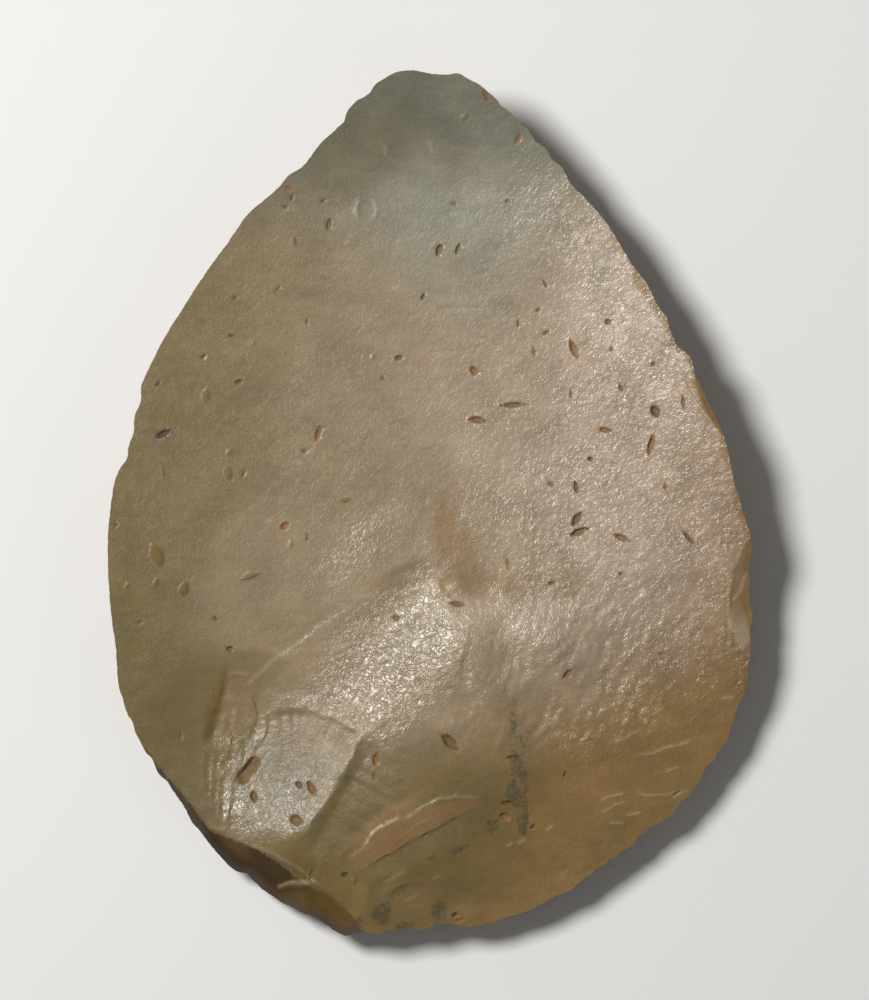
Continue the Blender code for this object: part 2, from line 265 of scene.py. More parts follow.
# Hollow scars in the split face: middle, bearing of the way down, half length, half width,
# depth, and dip in degrees
FACE_SCARS = [
    ((-0.208, -0.315), 150.0, 0.0078, 0.0096, 0.0009, 13.0),
    ((-0.296, -0.262), 172.0, 0.0026, 0.0066, 0.0004, 2.0),
    ((-0.274, -0.300), 160.0, 0.0026, 0.0052, 0.0005, 8.0),
    ((0.436, 0.112), 24.0, 0.0030, 0.0055, 0.0004, 20.0),
    ((0.494, -0.150), 2.0, 0.0026, 0.0048, 0.0004, 14.0),
]

# Steps across the split face, in photograph pixels: start, bend and end with the low side on
# the right, how far down, how wide the slope is, how far the low side takes to rise again,
# and how quickly its ends fade
STEPS = [
    ((436, 571), (376, 573), (244, 690), 0.00008, 0.00030, 0.0040, 12.0),
    ((293, 850), (327, 801), (366, 726), 0.00085, 0.00190, 0.0070, 5.0),
    ((270, 712), (310, 700), (363, 734), 0.00036, 0.00060, 0.0040, 9.0),
    ((326, 806), (346, 778), (363, 733), 0.00014, 0.00080, 0.0040, 7.0),
    ((199, 748), (214, 716), (223, 668), 0.00046, 0.00090, 0.0020, 5.0),
    ((245, 740), (264, 718), (249, 696), 0.00024, 0.00034, 0.0012, 6.0),
    ((249, 754), (277, 730), (260, 704), 0.00024, 0.00036, 0.0012, 6.0),
    ((218, 768), (239, 744), (223, 718), 0.00022, 0.00032, 0.0010, 6.0),
    ((233, 774), (249, 757), (238, 740), 0.00018, 0.00030, 0.0009, 6.0),
    ((213, 804), (211, 772), (217, 746), 0.00018, 0.00032, 0.0010, 6.0),
    ((206, 796), (203, 768), (209, 748), 0.00016, 0.00030, 0.0009, 6.0),
    ((221, 820), (218, 796), (222, 774), 0.00018, 0.00032, 0.0010, 6.0),
    ((230, 834), (227, 808), (232, 784), 0.00020, 0.00034, 0.0012, 6.0),
    ((353, 874), (390, 850), (478, 805), 0.00024, 0.00030, 0.0026, 5.0),
    ((468, 793), (426, 802), (400, 820), 0.00012, 0.00034, 0.0022, 7.0),
    ((402, 819), (372, 826), (366, 846), 0.00020, 0.00036, 0.0022, 7.0),
    ((316, 883), (288, 878), (275, 892), 0.00050, 0.00034, 0.0024, 9.0),
    ((368, 889), (376, 883), (392, 874), 0.00018, 0.00030, 0.0016, 7.0),
    ((459, 690), (456, 662), (472, 632), 0.00020, 0.00045, 0.0022, 6.0),
    ((470, 605), (446, 606), (437, 578), 0.00018, 0.00040, 0.0016, 6.0),
    ((722, 448), (722, 480), (742, 520), 0.00010, 0.00060, 0.0030, 5.0),
]

# Low swellings and hollows, in photograph pixels: x, y, half length, half width and bearing,
# then the height in metres
SWELLS = [
    (498, 622, 46, 44, 0, 0.00060),
    (468, 592, 40, 26, -10, -0.00030),
    (378, 566, 92, 56, 40, 0.00036),
    (384, 607, 72, 30, 38, -0.00030),
    (468, 657, 52, 46, 50, 0.00042),
    (552, 655, 74, 52, 12, 0.00042),
    (542, 632, 46, 40, 0, 0.00040),
    (410, 182, 150, 78, -4, -0.00032),
    (452, 712, 70, 34, 60, -0.00020),
    (765, 350, 200, 165, 105, 0.00115),
]

# Scars of the struck base, which face outwards
BASE_SCARS = [
    ((-0.356, -0.368), -142.0, 0.0040, 0.0062, 0.0005, 50.0),
    ((-0.254, -0.416), -122.0, 0.0050, 0.0078, 0.0012, 54.0),
    ((-0.168, -0.458), -114.0, 0.0044, 0.0056, 0.0006, 42.0),
]

# Broad scars of the underside: bearing, start, sideways shift, rise and radius of the hollow
BROAD_SCARS = [
    (12.0, 1.02, 0.10, 0.19, 0.110),
    (52.0, 0.84, -0.06, 0.12, 0.160),
    (97.0, 1.06, 0.05, 0.17, 0.085),
    (133.0, 0.96, -0.12, 0.21, 0.070),
    (171.0, 0.94, 0.04, 0.17, 0.140),
    (214.0, 1.06, -0.05, 0.22, 0.075),
    (253.0, 0.88, 0.10, 0.14, 0.150),
    (298.0, 0.98, -0.08, 0.20, 0.090),
    (336.0, 0.90, 0.12, 0.15, 0.120),
]

# Colours of the stone, as red, green and blue reflectances
BUFF = (0.300, 0.225, 0.138)
PINK = (0.374, 0.284, 0.203)
OLIVE = (0.170, 0.122, 0.052)
GREY = (0.225, 0.212, 0.156)
SAND = (0.245, 0.212, 0.148)
RUST = (0.205, 0.116, 0.032)
MOSS = (0.128, 0.092, 0.027)
STAIN = (0.222, 0.134, 0.058)
ORANGE = (0.262, 0.152, 0.060)
SLATE = (0.058, 0.054, 0.022)
UMBER = (0.155, 0.094, 0.040)
TAWNY = (0.236, 0.122, 0.048)
# BARK is the struck base's dark brown, deepened as painted shade of scars that face away from the
# light
BARK = (0.046, 0.025, 0.006)
MAUVE = (0.075, 0.058, 0.050)
CHIP = (0.235, 0.150, 0.075)
# TIP is partly the tip's own greyer colour and partly painted shade; it also tints the band below
# the stripe
TIP = (0.125, 0.118, 0.080)
CHALK = (0.520, 0.440, 0.320)
PALE = (0.450, 0.380, 0.280)
CREAM = (0.440, 0.340, 0.215)

# Fossils in the split face, in photograph pixels: x, y, length, width, bearing, depth as a
# share of the width (raised where negative), and colour
FOSSILS = [
    (574, 349, 23, 7.5, 113, 0.26, TAWNY),
    (608, 322, 7, 6, 0, 0.25, UMBER),
    (518, 324, 9, 2.5, 95, 0.3, UMBER),
    (538, 310, 6, 3, 45, 0.2, UMBER),
    (546, 333, 8, 4, 30, 0.25, UMBER),
    (534, 352, 10, 2.5, 100, 0.25, UMBER),
    (474, 371, 11, 7, 120, 0.25, TAWNY),
    (513, 405, 29, 5.5, 3, 0.26, UMBER),
    (477, 420, 19, 7, -5, 0.28, TAWNY),
    (605, 430, 16, 5.5, -8, 0.28, TAWNY),
    (655, 411, 13, 9, 110, 0.26, UMBER),
    (651, 445, 24, 7, 77, 0.26, TAWNY),
    (683, 402, 16, 4.5, 95, 0.20, UMBER),
    (621, 388, 9, 4, 115, 0.25, UMBER),
    (571, 394, 10, 2.5, 90, 0.25, UMBER),
    (611, 349, 6, 3, 75, 0.2, UMBER),
    (653, 364, 6, 4, 60, 0.2, UMBER),
    (590, 459, 6, 5, 0, 0.3, UMBER),
    (551, 484, 7, 4, 160, 0.2, TAWNY),
    (576, 487, 14, 5, 100, 0.25, UMBER),
    (577, 519, 18, 8, 58, 0.25, UMBER),
    (579, 532, 21, 8, 20, 0.28, UMBER),
    (622, 538, 20, 6.5, -22, 0.28, TAWNY),
    (688, 537, 20, 3.5, 130, 0.30, UMBER),
    (665, 487, 10, 3.5, 95, 0.2, UMBER),
    (457, 604, 17, 6, -6, 0.25, UMBER),
    (508, 565, 14, 3.5, 95, 0.2, TAWNY),
    (552, 583, 8, 4, 10, 0.2, UMBER),
    (621, 574, 5, 4, 0, 0.25, UMBER),
    (163, 434, 19, 6.5, 28, 0.20, MAUVE),
    (206, 396, 15, 8, 80, -0.14, OLIVE),
    (239, 382, 8, 5, 20, 0.25, UMBER),
    (203, 357, 7, 3.5, 40, 0.2, MAUVE),
    (253, 344, 8, 3, 60, -0.2, OLIVE),
    (158, 384, 7, 3.5, 45, 0.2, MAUVE),
    (163, 472, 16, 3.5, 97, -0.22, OLIVE),
    (229, 453, 9, 4, 60, -0.2, OLIVE),
    (228, 473, 16, 9, 100, -0.13, OLIVE),
    (244, 473, 8, 4, 70, 0.15, OLIVE),
    (318, 434, 20, 6, 75, 0.20, TAWNY),
    (304, 451, 6, 4, 0, 0.15, OLIVE),
    (345, 500, 16, 5.5, 8, -0.20, UMBER),
    (285, 526, 12, 7, 40, 0.20, TAWNY),
    (291, 545, 11, 4, 85, -0.18, OLIVE),
    (307, 537, 8, 3, 90, 0.2, UMBER),
    (250, 576, 23, 6.5, 19, -0.20, UMBER),
    (157, 555, 25, 13, 112, -0.12, UMBER),
    (184, 589, 16, 10, 70, -0.13, UMBER),
    (156, 583, 11, 4.5, 70, -0.20, OLIVE),
    (128, 585, 8, 4, 45, -0.2, OLIVE),
    (116, 525, 4, 3, 0, 0.3, UMBER),
    (140, 622, 6, 3, 20, 0.2, UMBER),
    (216, 619, 7, 4, 140, 0.2, UMBER),
    (399, 358, 8, 6, 20, 0.25, UMBER),
    (373, 357, 7, 3, 60, -0.2, OLIVE),
    (383, 378, 6, 2.5, 95, 0.2, UMBER),
    (366, 209, 22, 18, 100, 0.09, GREY),
    (486, 96, 14, 6, -62, 0.20, TAWNY),
    (518, 139, 11, 6, 60, 0.15, TAWNY),
    (289, 188, 13, 4.5, -8, 0.15, TAWNY),
    (329, 225, 15, 6, 80, 0.2, OLIVE),
    (292, 198, 8, 4, 75, 0.2, OLIVE),
    (294, 242, 13, 5, 95, -0.2, OLIVE),
    (439, 250, 14, 7, 70, 0.25, OLIVE),
    (458, 249, 14, 5, 72, 0.28, OLIVE),
    (423, 297, 9, 4, 70, 0.28, UMBER),
    (464, 118, 15, 4.5, 55, -0.2, OLIVE),
    (507, 201, 5, 4, 30, 0.2, UMBER),
    (454, 204, 5, 3, 120, 0.2, OLIVE),
    (545, 284, 10, 3, 115, 0.25, UMBER),
    (285, 207, 6, 3, 140, 0.2, UMBER),
    (323, 201, 6, 3, 30, 0.2, UMBER),
    (307, 322, 7, 4, 90, 0.15, UMBER),
    (235, 298, 6, 4, 40, 0.2, OLIVE),
    (231, 336, 8, 3, 10, 0.2, MAUVE),
    (278, 289, 9, 3.5, 55, 0.2, TAWNY),
    (248, 771, 34, 14, 52, 0.24, UMBER),
    (254, 797, 14, 7.5, 105, 0.24, UMBER),
    (299, 785, 9, 6, 125, 0.22, UMBER),
    (312, 789, 19, 7.5, 118, 0.26, TAWNY),
    (296, 820, 15, 11, -25, 0.20, UMBER),
    (450, 742, 26, 11, -43, 0.20, UMBER),
    (376, 759, 15, 8, 80, 0.20, TAWNY),
    (375, 776, 10, 5, 100, 0.18, TAWNY),
    (230, 649, 8, 6, 0, 0.28, UMBER),
    (396, 618, 8, 6, 0, 0.15, UMBER),
    (181, 736, 10, 5, 95, 0.15, TAWNY),
    (568, 674, 14, 7, 45, 0.22, TAWNY),
    (661, 654, 10, 3.5, 0, 0.2, TAWNY),
    (646, 722, 4, 3.5, 0, -0.3, CHALK),
    (677, 794, 9, 3.5, 35, 0.25, SLATE),
    (511, 758, 12, 4.5, 10, 0.3, TAWNY),
    (505, 817, 13, 8, -20, 0.24, TAWNY),
    (507, 803, 16, 4.5, 5, 0.3, UMBER),
    (565, 775, 7, 3, 75, 0.3, UMBER),
    (533, 827, 10, 3.5, 42, 0.25, MAUVE),
    (455, 916, 8, 6, 30, 0.25, UMBER),
    (459, 921, 12, 5, 10, 0.15, TAWNY),
    (345, 875, 7, 6, 0, 0.2, MAUVE),
    (354, 880, 6, 7, 0, -0.2, OLIVE),
]

# Fine raised lines (hollow where negative) in photograph pixels: start, bend and end, half
# the width in pixels and height as a share of that
WELTS = [
    ((347, 859), (362, 853), (369, 839), 1.3, 0.16),
    ((367, 842), (374, 826), (403, 819), 1.3, 0.24),
    ((402, 819), (416, 815), (424, 804), 1.3, 0.26),
    ((423, 805), (450, 794), (481, 798), 1.3, 0.24),
    ((362, 836), (378, 814), (414, 801), 2.6, 0.12),
    ((353, 873), (385, 852), (420, 833), 1.3, -0.30),
    ((378, 845), (404, 832), (436, 820), 1.2, -0.14),
    ((404, 834), (420, 822), (446, 812), 1.2, 0.14),
    ((419, 834), (450, 818), (478, 805), 1.2, -0.18),
    ((402, 902), (412, 897), (421, 893), 1.3, 0.20),
    ((431, 881), (437, 878), (443, 877), 1.3, 0.20),
    ((383, 884), (394, 876), (409, 871), 1.8, 0.16),
    ((234, 845), (272, 844), (325, 889), 1.6, 0.22),
    ((276, 890), (286, 881), (314, 884), 2.0, 0.60),
    ((208, 824), (216, 830), (227, 829), 1.6, 0.24),
    ((456, 853), (464, 849), (471, 846), 1.4, -0.40),
    ((226, 674), (238, 671), (250, 676), 2.0, 0.25),
    ((236, 705), (231, 728), (228, 752), 2.2, 0.24),
    ((263, 718), (268, 732), (258, 752), 1.6, 0.26),
    ((233, 790), (229, 808), (224, 828), 1.6, 0.30),
    ((694, 543), (703, 531), (714, 522), 1.6, 0.34),
    ((684, 523), (682, 534), (694, 544), 2.0, -0.34),
    ((728, 652), (736, 650), (746, 645), 1.5, 0.40),
    ((707, 661), (717, 658), (726, 653), 1.4, 0.26),
    ((478, 672), (482, 666), (486, 660), 1.4, 0.34),
    ((681, 374), (687, 398), (717, 428), 1.3, 0.30),
    ((685, 374), (691, 397), (720, 424), 1.3, -0.34),
    ((690, 376), (699, 400), (719, 418), 1.4, -0.16),
    ((727, 574), (726, 612), (729, 648), 1.3, -0.40),
    ((748, 566), (741, 588), (729, 604), 1.3, -0.34),
    ((390, 578), (408, 568), (436, 557), 2.6, -0.22),
    ((266, 745), (296, 722), (336, 732), 3.4, 0.10),
    ((278, 762), (308, 740), (342, 750), 3.4, 0.09),
    ((300, 712), (330, 722), (352, 740), 2.6, 0.08),
    ((361, 735), (352, 757), (338, 781), 2.0, 0.30),
    ((338, 781), (322, 808), (300, 838), 2.0, 0.28),
    ((448, 600), (458, 596), (474, 606), 2.4, 0.22),
    ((243, 690), (262, 668), (296, 644), 1.8, 0.20),
    ((292, 647), (334, 612), (384, 578), 1.8, 0.10),
    ((340, 722), (360, 730), (366, 726), 1.8, 0.30),
    ((366, 728), (358, 746), (346, 764), 2.4, 0.34),
    ((740, 548), (733, 560), (735, 580), 1.4, -0.34),
    ((735, 580), (731, 600), (728, 646), 1.4, -0.36),
    ((731, 603), (742, 592), (746, 572), 1.4, 0.30),
    ((556, 719), (553, 702), (573, 688), 2.2, -0.26),
    ((570, 714), (584, 708), (600, 694), 2.2, 0.24),
    ((527, 742), (545, 730), (562, 716), 2.4, 0.20),
    ((530, 753), (548, 740), (566, 730), 2.0, 0.16),
    ((562, 594), (578, 600), (586, 582), 2.6, -0.24),
    ((556, 485), (566, 480), (576, 481), 1.8, 0.26),
    ((597, 715), (602, 712), (608, 709), 1.1, 0.40),
    ((621, 716), (625, 714), (631, 712), 1.1, 0.36),
    ((612, 745), (630, 736), (642, 728), 1.1, 0.40),
    ((633, 758), (668, 748), (697, 740), 1.1, 0.44),
    ((600, 803), (610, 795), (626, 794), 1.1, 0.42),
    ((634, 792), (658, 800), (684, 790), 1.1, 0.28),
    ((601, 813), (612, 806), (628, 801), 1.1, 0.42),
    ((626, 817), (634, 815), (642, 810), 1.1, 0.40),
    ((608, 825), (616, 822), (626, 823), 1.1, 0.34),
    ((664, 772), (670, 768), (680, 767), 1.1, 0.40),
    ((672, 798), (679, 794), (690, 790), 1.1, 0.42),
    ((652, 716), (658, 711), (666, 706), 1.1, 0.42),
    ((546, 832), (549, 829), (554, 824), 1.1, 0.34),
    ((516, 845), (522, 842), (527, 840), 1.2, 0.44),
    ((580, 743), (584, 739), (590, 733), 1.1, 0.42),
    ((720, 700), (728, 697), (736, 696), 1.2, 0.36),
    ((506, 848), (510, 845), (514, 842), 1.1, 0.34),
    ((430, 309), (462, 307), (498, 308), 1.2, -0.22),
    ((361, 199), (354, 208), (358, 219), 1.2, 0.40),
    ((372, 199), (378, 208), (374, 219), 1.2, 0.44),
    ((384, 145), (387, 151), (385, 158), 1.2, 0.30),
    ((430, 141), (432, 148), (431, 155), 1.2, 0.24),
    ((330, 430), (285, 470), (228, 528), 2.0, -0.08),
    ((480, 560), (490, 600), (486, 640), 5.0, -0.05),
]


# Small chips along the edge, in photograph pixels: x, y, bearing of the way down, half length
# and half width, then depth in metres and dip in degrees below the face
CHIPS = [
    (679, 337, 26, 10, 14, 0.00012, 16.0),
    (658, 301, 28, 8, 12, 0.00012, 16.0),
    (738, 484, 14, 10, 27, 0.00010, 9.0),
    (745, 610, 0, 22, 42, 0.00034, 6.0),
    (748, 562, 6, 16, 18, 0.00020, 10.0),
]

# How strong the dark specks are outside the vein, and the ovals near the base that have them
SPECKLED = 0.80
PATCHES = [
    (382, 913, 13, 10, 70),
    (439, 913, 14, 9, 80),
    (460, 849, 12, 5, 24),
    (432, 858, 7, 4, 20),
    (397, 892, 16, 5, 30),
    (359, 923, 8, 5, 80),
    (492, 826, 10, 8, 60),
    (405, 926, 12, 5, 5),
    (511, 791, 17, 5, 78),
]

# The dark vein's right and left borders (start, bend and end), its middle and reach, and the
# paler oval at its top, then the borders of two bands near the base, in photograph pixels
VEIN = (((512, 694), (536, 768), (526, 844)), ((509, 694), (505, 796), (521, 844)))
VEIN_MIDDLE = (518, 770)
VEIN_REACH = 90
VEIN_TOP = (515, 718, 34, 14, 94)
BAND = (((344, 862), (374, 816), (484, 795)), ((348, 880), (390, 850), (482, 804)))
LOWER_BAND = (((356, 878), (394, 852), (482, 806)), ((368, 886), (410, 857), (486, 814)))

# Ovals where the grain is calmer (by a negative share) or at least as lively as a share says,
# in turn: the share, then x, y, half length, half width and bearing in photograph pixels, and
# how soft the border is where that isn't 1
LIVELY_PATCHES = [
    (-0.70, 450, 90, 210, 110, 0),
    (-0.62, 494, 292, 150, 66, 112),
    (-0.40, 556, 300, 60, 34, 120),
    (-0.35, 566, 428, 60, 26, 10),
    (1.15, 606, 284, 30, 16, 130, 0.9),
    (1.25, 648, 346, 42, 20, 122, 0.9),
    (1.25, 632, 378, 20, 16, 0, 0.9),
    (1.25, 672, 420, 28, 18, 100, 0.9),
    (-0.80, 614, 886, 330, 150, 20, 0.9),
    (1.4, 400, 655, 105, 62, 50, 0.7),
    (1.0, 280, 785, 62, 48, 60, 0.5),
    (0.36, 226, 745, 72, 32, 100, 0.6),
    (1.2, 334, 772, 46, 9, 57, 0.7),
    (0.8, 520, 615, 48, 34, 0, 0.8),
    (0.24, 370, 550, 60, 45, 40, 0.9),
    (0.45, 430, 560, 26, 24, 90, 0.9),
    (0.95, 492, 650, 52, 34, 80, 0.8),
    (-0.75, 452, 558, 46, 22, 100, 0.9),
    (-0.60, 424, 572, 40, 14, 18, 0.9),
    (-0.55, 474, 584, 44, 15, -8, 0.9),
    (-0.80, 698, 400, 34, 8, -60, 0.4),
]

# Matt places: how matt, and an oval as above
DULL_PATCHES = [
    (0.35, 304, 746, 62, 30, 24, 0.7),
    (0.35, 326, 772, 44, 15, 58, 0.6),
    (0.18, 296, 784, 54, 38, 60, 0.9),
    (0.35, 372, 812, 66, 36, 20, 0.9),
    (0.80, 214, 705, 44, 9, 75, 0.8),
    (0.50, 232, 704, 36, 18, 84, 0.8),
    (0.45, 395, 858, 60, 14, 26, 0.9),
    (0.90, 256, 708, 9, 7, 0, 0.8),
]

# Fine waves of the split face: height, where they are (all over, where the grain is lively, or
# low down), size, seed, bearing and stretch, and the oval that some keep to, as above
WAVES = [
    (0.000070, "all", 0.0140, 21, 0.0, 1.0),
    (0.000040, "all", 0.0060, 22, 0.0, 1.0),
    (0.000014, "all", 0.0018, 23, 48.0, 3.0),
    (0.000025, "lively", 0.0018, 23, 48.0, 3.0),
    (0.000026, "lively", 0.0024, 24, 62.0, 1.3),
    (0.000070, "all", 0.0018, 47, 118.0, 2.2, 628, 272, 110, 34, 125),
    (0.000120, "all", 0.0010, 43, 66.0, 2.2, 580, 672, 128, 66, 22),
    (0.000036, "all", 0.0020, 44, 60.0, 2.0, 580, 672, 128, 66, 22),
    (0.000030, "low", 0.0013, 26, 26.0, 2.8),
    (0.000060, "all", 0.0012, 28, 76.0, 5.0, 224, 748, 64, 24, 100, 0.5),
    (0.000036, "all", 0.0022, 29, 70.0, 4.0, 224, 748, 64, 24, 100, 0.5),
    (0.000028, "all", 0.0014, 30, 28.0, 4.0, 306, 752, 46, 28, 20, 0.6),
]

# Winding ridges where the grain is lively: height, size, seed, bearing and stretch
CRINKLES = [(0.000054, 0.00105, 81, 66.0, 1.25), (0.000027, 0.00160, 84, 70.0, 1.6)]

# The low rise above the small scar, as an oval in photograph pixels, and its height
RISE = (290, 716, 64, 34, -18)
RISE_HEIGHT = 0.00026

# Places where colours come in gradually, each a product of ramps: shares of the photograph's x
# and y and of a wandering border, which are added, then where the ramp starts and its width
RAMPS = {
    "left": [(-1, 0, 1, -455, 290)],
    "low left": [(0, 1, 1, 470, 200), (-1, 0, 0, -260, 130)],
    "right": [(1, 0, 1, 490, 110)],
    "mottle": [(1, 0, 0, 440, 80)],
    "upper middle": [
        (0.25, -1, 2, -282.5, 220),
        (-1, -0.5, 0, -760, 200),
        (1, -0.2, 0, 230, 160),
    ],
    "tip": [(0, -1, 0.5, -196, 46)],
    "right of tip": [(1, 0, 0, 420, 90)],
    "below tip": [(0, 1, 0, 115, 50)],
    "upper left": [(-1, 0, 0, -420, 110), (0, -1, 1, -262, 90)],
    "right edge": [(1, 0, 0.5, 700, 40), (0, 1, 0, 390, 80)],
    "lower right": [(0.55, 1, 1, 934.5, 160)],
    "low": [(0, 1, 0, 560, 160)],
    "stain": [(1, 0.1, 0, 488, 7)],
    "right rim": [(1, 0, 0, 600, 40)],
    "glow": [(1, -0.4, 0, -90, 60)],
    "second scar": [(0.25, 1, 0, 962, 5), (1, 0, 0, 270, 8)],
}

# Colours laid over the split face in turn: strength, the name of the place, and the oval that
# some keep to, as above
TINTS = [
    (OLIVE, 0.95, "left"),
    (MOSS, 0.60, "low left"),
    (PINK, 0.80, "right"),
    (OLIVE, 0.30, "mottle"),
    (GREY, 1.00, "upper middle"),
    # Painted shade: the tip's grey darkens the tip and the upper left, over their own greyer colour
    (TIP, 1.00, "tip"),
    (TIP, 0.50, "upper left"),
    (MOSS, 0.24, "all", 362, 152, 62, 34, 40),
    (BUFF, 0.22, "all", 456, 168, 60, 26, -20),
    # Partly paler patina, partly painted highlight where the face turns towards the light
    (PALE, 0.42, "all", 614, 300, 62, 38, 124),
    (OLIVE, 0.22, "all", 382, 384, 90, 60, 70),
    (OLIVE, 0.34, "all", 368, 510, 84, 50, 40),
    (OLIVE, 0.22, "all", 484, 704, 34, 20, 0),
    # More painted shade near the tip, with the tip's grey
    (TIP, 0.24, "all", 394, 182, 50, 20, 0),
    (OLIVE, 0.20, "all", 340, 272, 50, 30, 0),
    (BUFF, 0.35, "all", 262, 570, 90, 60, 50),
    (RUST, 0.34, "right edge"),
    (RUST, 0.92, "lower right"),
    (MOSS, 0.76, "all", 400, 840, 150, 95, 15, 0.8),
    (RUST, 0.55, "all", 600, 800, 110, 60, 30, 0.9),
    (STAIN, 0.80, "stain", 452, 536, 44, 24, 96),
    (STAIN, 0.75, "streaks", 470, 582, 46, 17, -8),
    (STAIN, 0.40, "streaks", 540, 584, 50, 14, 6, 1.2),
    (STAIN, 0.50, "all", 446, 534, 34, 13, 98),
    (ORANGE, 0.34, "all", 462, 546, 26, 16, 110),
    (ORANGE, 0.25, "all", 716, 560, 150, 40, 96),
    (PALE, 0.22, "all", 506, 458, 50, 32, 150),
    (PALE, 0.18, "all", 606, 538, 34, 30, 0),
    (MOSS, 0.40, "all", 640, 822, 64, 18, 34),
    (MOSS, 0.20, "all", 198, 804, 30, 12, -52),
    (MOSS, 0.16, "all", 122, 560, 70, 14, 90),
    (STAIN, 0.35, "all", 492, 590, 34, 9, 0),
    (ORANGE, 0.70, "streaks", 446, 536, 24, 9, 100),
    (ORANGE, 0.50, "streaks", 466, 572, 28, 12, -40),
    # Dark olive along the left groove: partly its own colour, partly painted shade of its slope
    # turned from the light
    (MOSS, 0.65, "all", 215, 704, 40, 6, 76, 0.7),
    (BUFF, 0.7, "all", 390, 660, 110, 62, 50, 0.8),
    # Painted highlight on the bulb's brightest part
    (PALE, 0.30, "all", 424, 626, 36, 22, 48),
    (OLIVE, 0.30, "all", 414, 646, 50, 24, 50),
    # Painted shade in the trough round the bulb's far end; the stain beside it is partly the real
    # stain, partly that shade
    (OLIVE, 0.50, "all", 412, 574, 44, 11, 18, 0.9),
    (STAIN, 0.50, "all", 452, 582, 20, 12, -20, 0.9),
    # Painted highlight on the swell beyond the bulb's end
    (PALE, 0.40, "all", 512, 622, 60, 24, 0, 0.9),
    # Painted shade under the big scar's top ledge
    (OLIVE, 0.45, "all", 338, 733, 34, 11, -20, 0.8),
    (MOSS, 0.30, "all", 224, 748, 64, 16, 100, 0.7),
    # Painted light on the bulb's far flank, which faces away from the light
    (CREAM, 0.45, "all", 490, 634, 34, 20, 80),
    (BUFF, 0.30, "all", 560, 650, 90, 44, 24),
    (SAND, 0.60, "all", 280, 780, 60, 46, 60, 0.6),
    (STAIN, 0.40, "all", 232, 706, 40, 22, 84, 0.8),
    (TAWNY, 1.00, "band"),
    (CHIP, 0.45, "beside band", 386, 818, 44, 9, 34, 0.9),
    (ORANGE, 0.75, "beside band", 388, 818, 34, 8, 36, 0.9),
    (ORANGE, 0.40, "all", 412, 900, 30, 14, 10),
    (ORANGE, 0.35, "all", 358, 906, 24, 8, 80),
    (ORANGE, 0.30, "all", 462, 912, 16, 8, 0),
    (TIP, 0.18, "lower band"),
    (STAIN, 0.28, "all", 300, 738, 44, 16, -16, 0.8),
    # Painted highlight along the left of the small scar's crest, and dark olive to its right, partly
    # painted shade of the slope beyond
    (PALE, 0.25, "all", 336, 768, 46, 6, 57, 0.7),
    (MOSS, 0.24, "all", 338, 798, 58, 9, 60, 0.7),
    (MOSS, 0.30, "all", 392, 892, 34, 16, 20),
]

# The same for the edge and the struck base, laid over the fossils' colours
EDGE_TINTS = [
    (CHIP, 0.75, "chips"),
    (PALE, 0.36, "chips", 738, 644, 26, 14, 90, 1.2),
    (CHIP, 0.50, "all", 698, 400, 34, 8, -60, 0.4),
    (PALE, 0.45, "all", 682, 357, 13, 9, -60, 0.5),
    (RUST, 0.75, "right rim"),
    # Painted shade: the struck base is made almost black, partly its own dark brown, and less dark
    # where the light catches it
    (BARK, 0.98, "dark base"),
    (UMBER, 0.60, "base", 230, 838, 26, 9, -48),
    (UMBER, 0.10, "base", 262, 858, 34, 10, -40),
    (RUST, 0.28, "second scar"),
    (MAUVE, 0.75, "base strip"),
]

# How uneven the borders of all these ovals are: strength, size and seed
OVAL_UNEVEN = (0.12, 0.0045, 41)

# The mottle of one of the colours above, as strength, size and seed, and how much there is of
# the streaks before their waves
MOTTLE = (1.4, 0.0042, 37)
STREAKS_LEVEL = 0.55

# How strong the tip's colour is, partly painted shade where the tip turns away from the light, and
# how much weaker it is on the right and further down
TIP_LEVEL = 0.88
TIP_LESS_RIGHT = 0.24
TIP_LESS_BELOW = 0.18

# How much there is of the band's colour, and the waves in that
BAND_LEVEL = 0.62
BAND_WAVES = (0.30, 0.0007, 45, 30.0, 6.0)

# How much weaker the base's dark colour is where the light catches it
BASE_GLOW = 0.32

# Strips of colour along the edge: how far in, the waves in that, and how soft the border is
BASE_STRIP = (0.0015, (0.0005, 0.0040, 36), 0.0010)
RIGHT_STRIP = (0.0010, (0.0010, 0.0040, 34), 0.0005)

# How quickly the pale colour of fine raised lines, partly painted highlight, comes in with
# their height
WELT_TINT_GAIN = 1.1

# How strong the vein's specks are, the waves in that, and how much weaker they are at its top
VEIN_LEVEL = 0.75
VEIN_WAVES = (0.5, 0.0016, 46)
VEIN_TOP_LESS = 0.36

# A band's soft border in photograph pixels, and how quickly its ends fade
BAND_BORDER = 2.0
BAND_FADE = 12.0

# Colours of the underside: strength, size and seed of the waves, and what is added to those,
# and how strong the chalky colour of the skin is
UNDER_TINTS = [(OLIVE, 0.6, 0.0200, 51, 0.5), (RUST, 0.4, 0.0130, 52, 0.0)]
SKIN_TINT = 0.85

# How matt the struck base, the edge's small scars and the underside are
MATT_BASE = 0.90
MATT_SCARS = 0.2
MATT_UNDER = 0.4

# How lively the grain is in the scars of the edge and the base, and on the underside
LIVELY_SCARS = 0.15
LIVELY_UNDER = 0.3

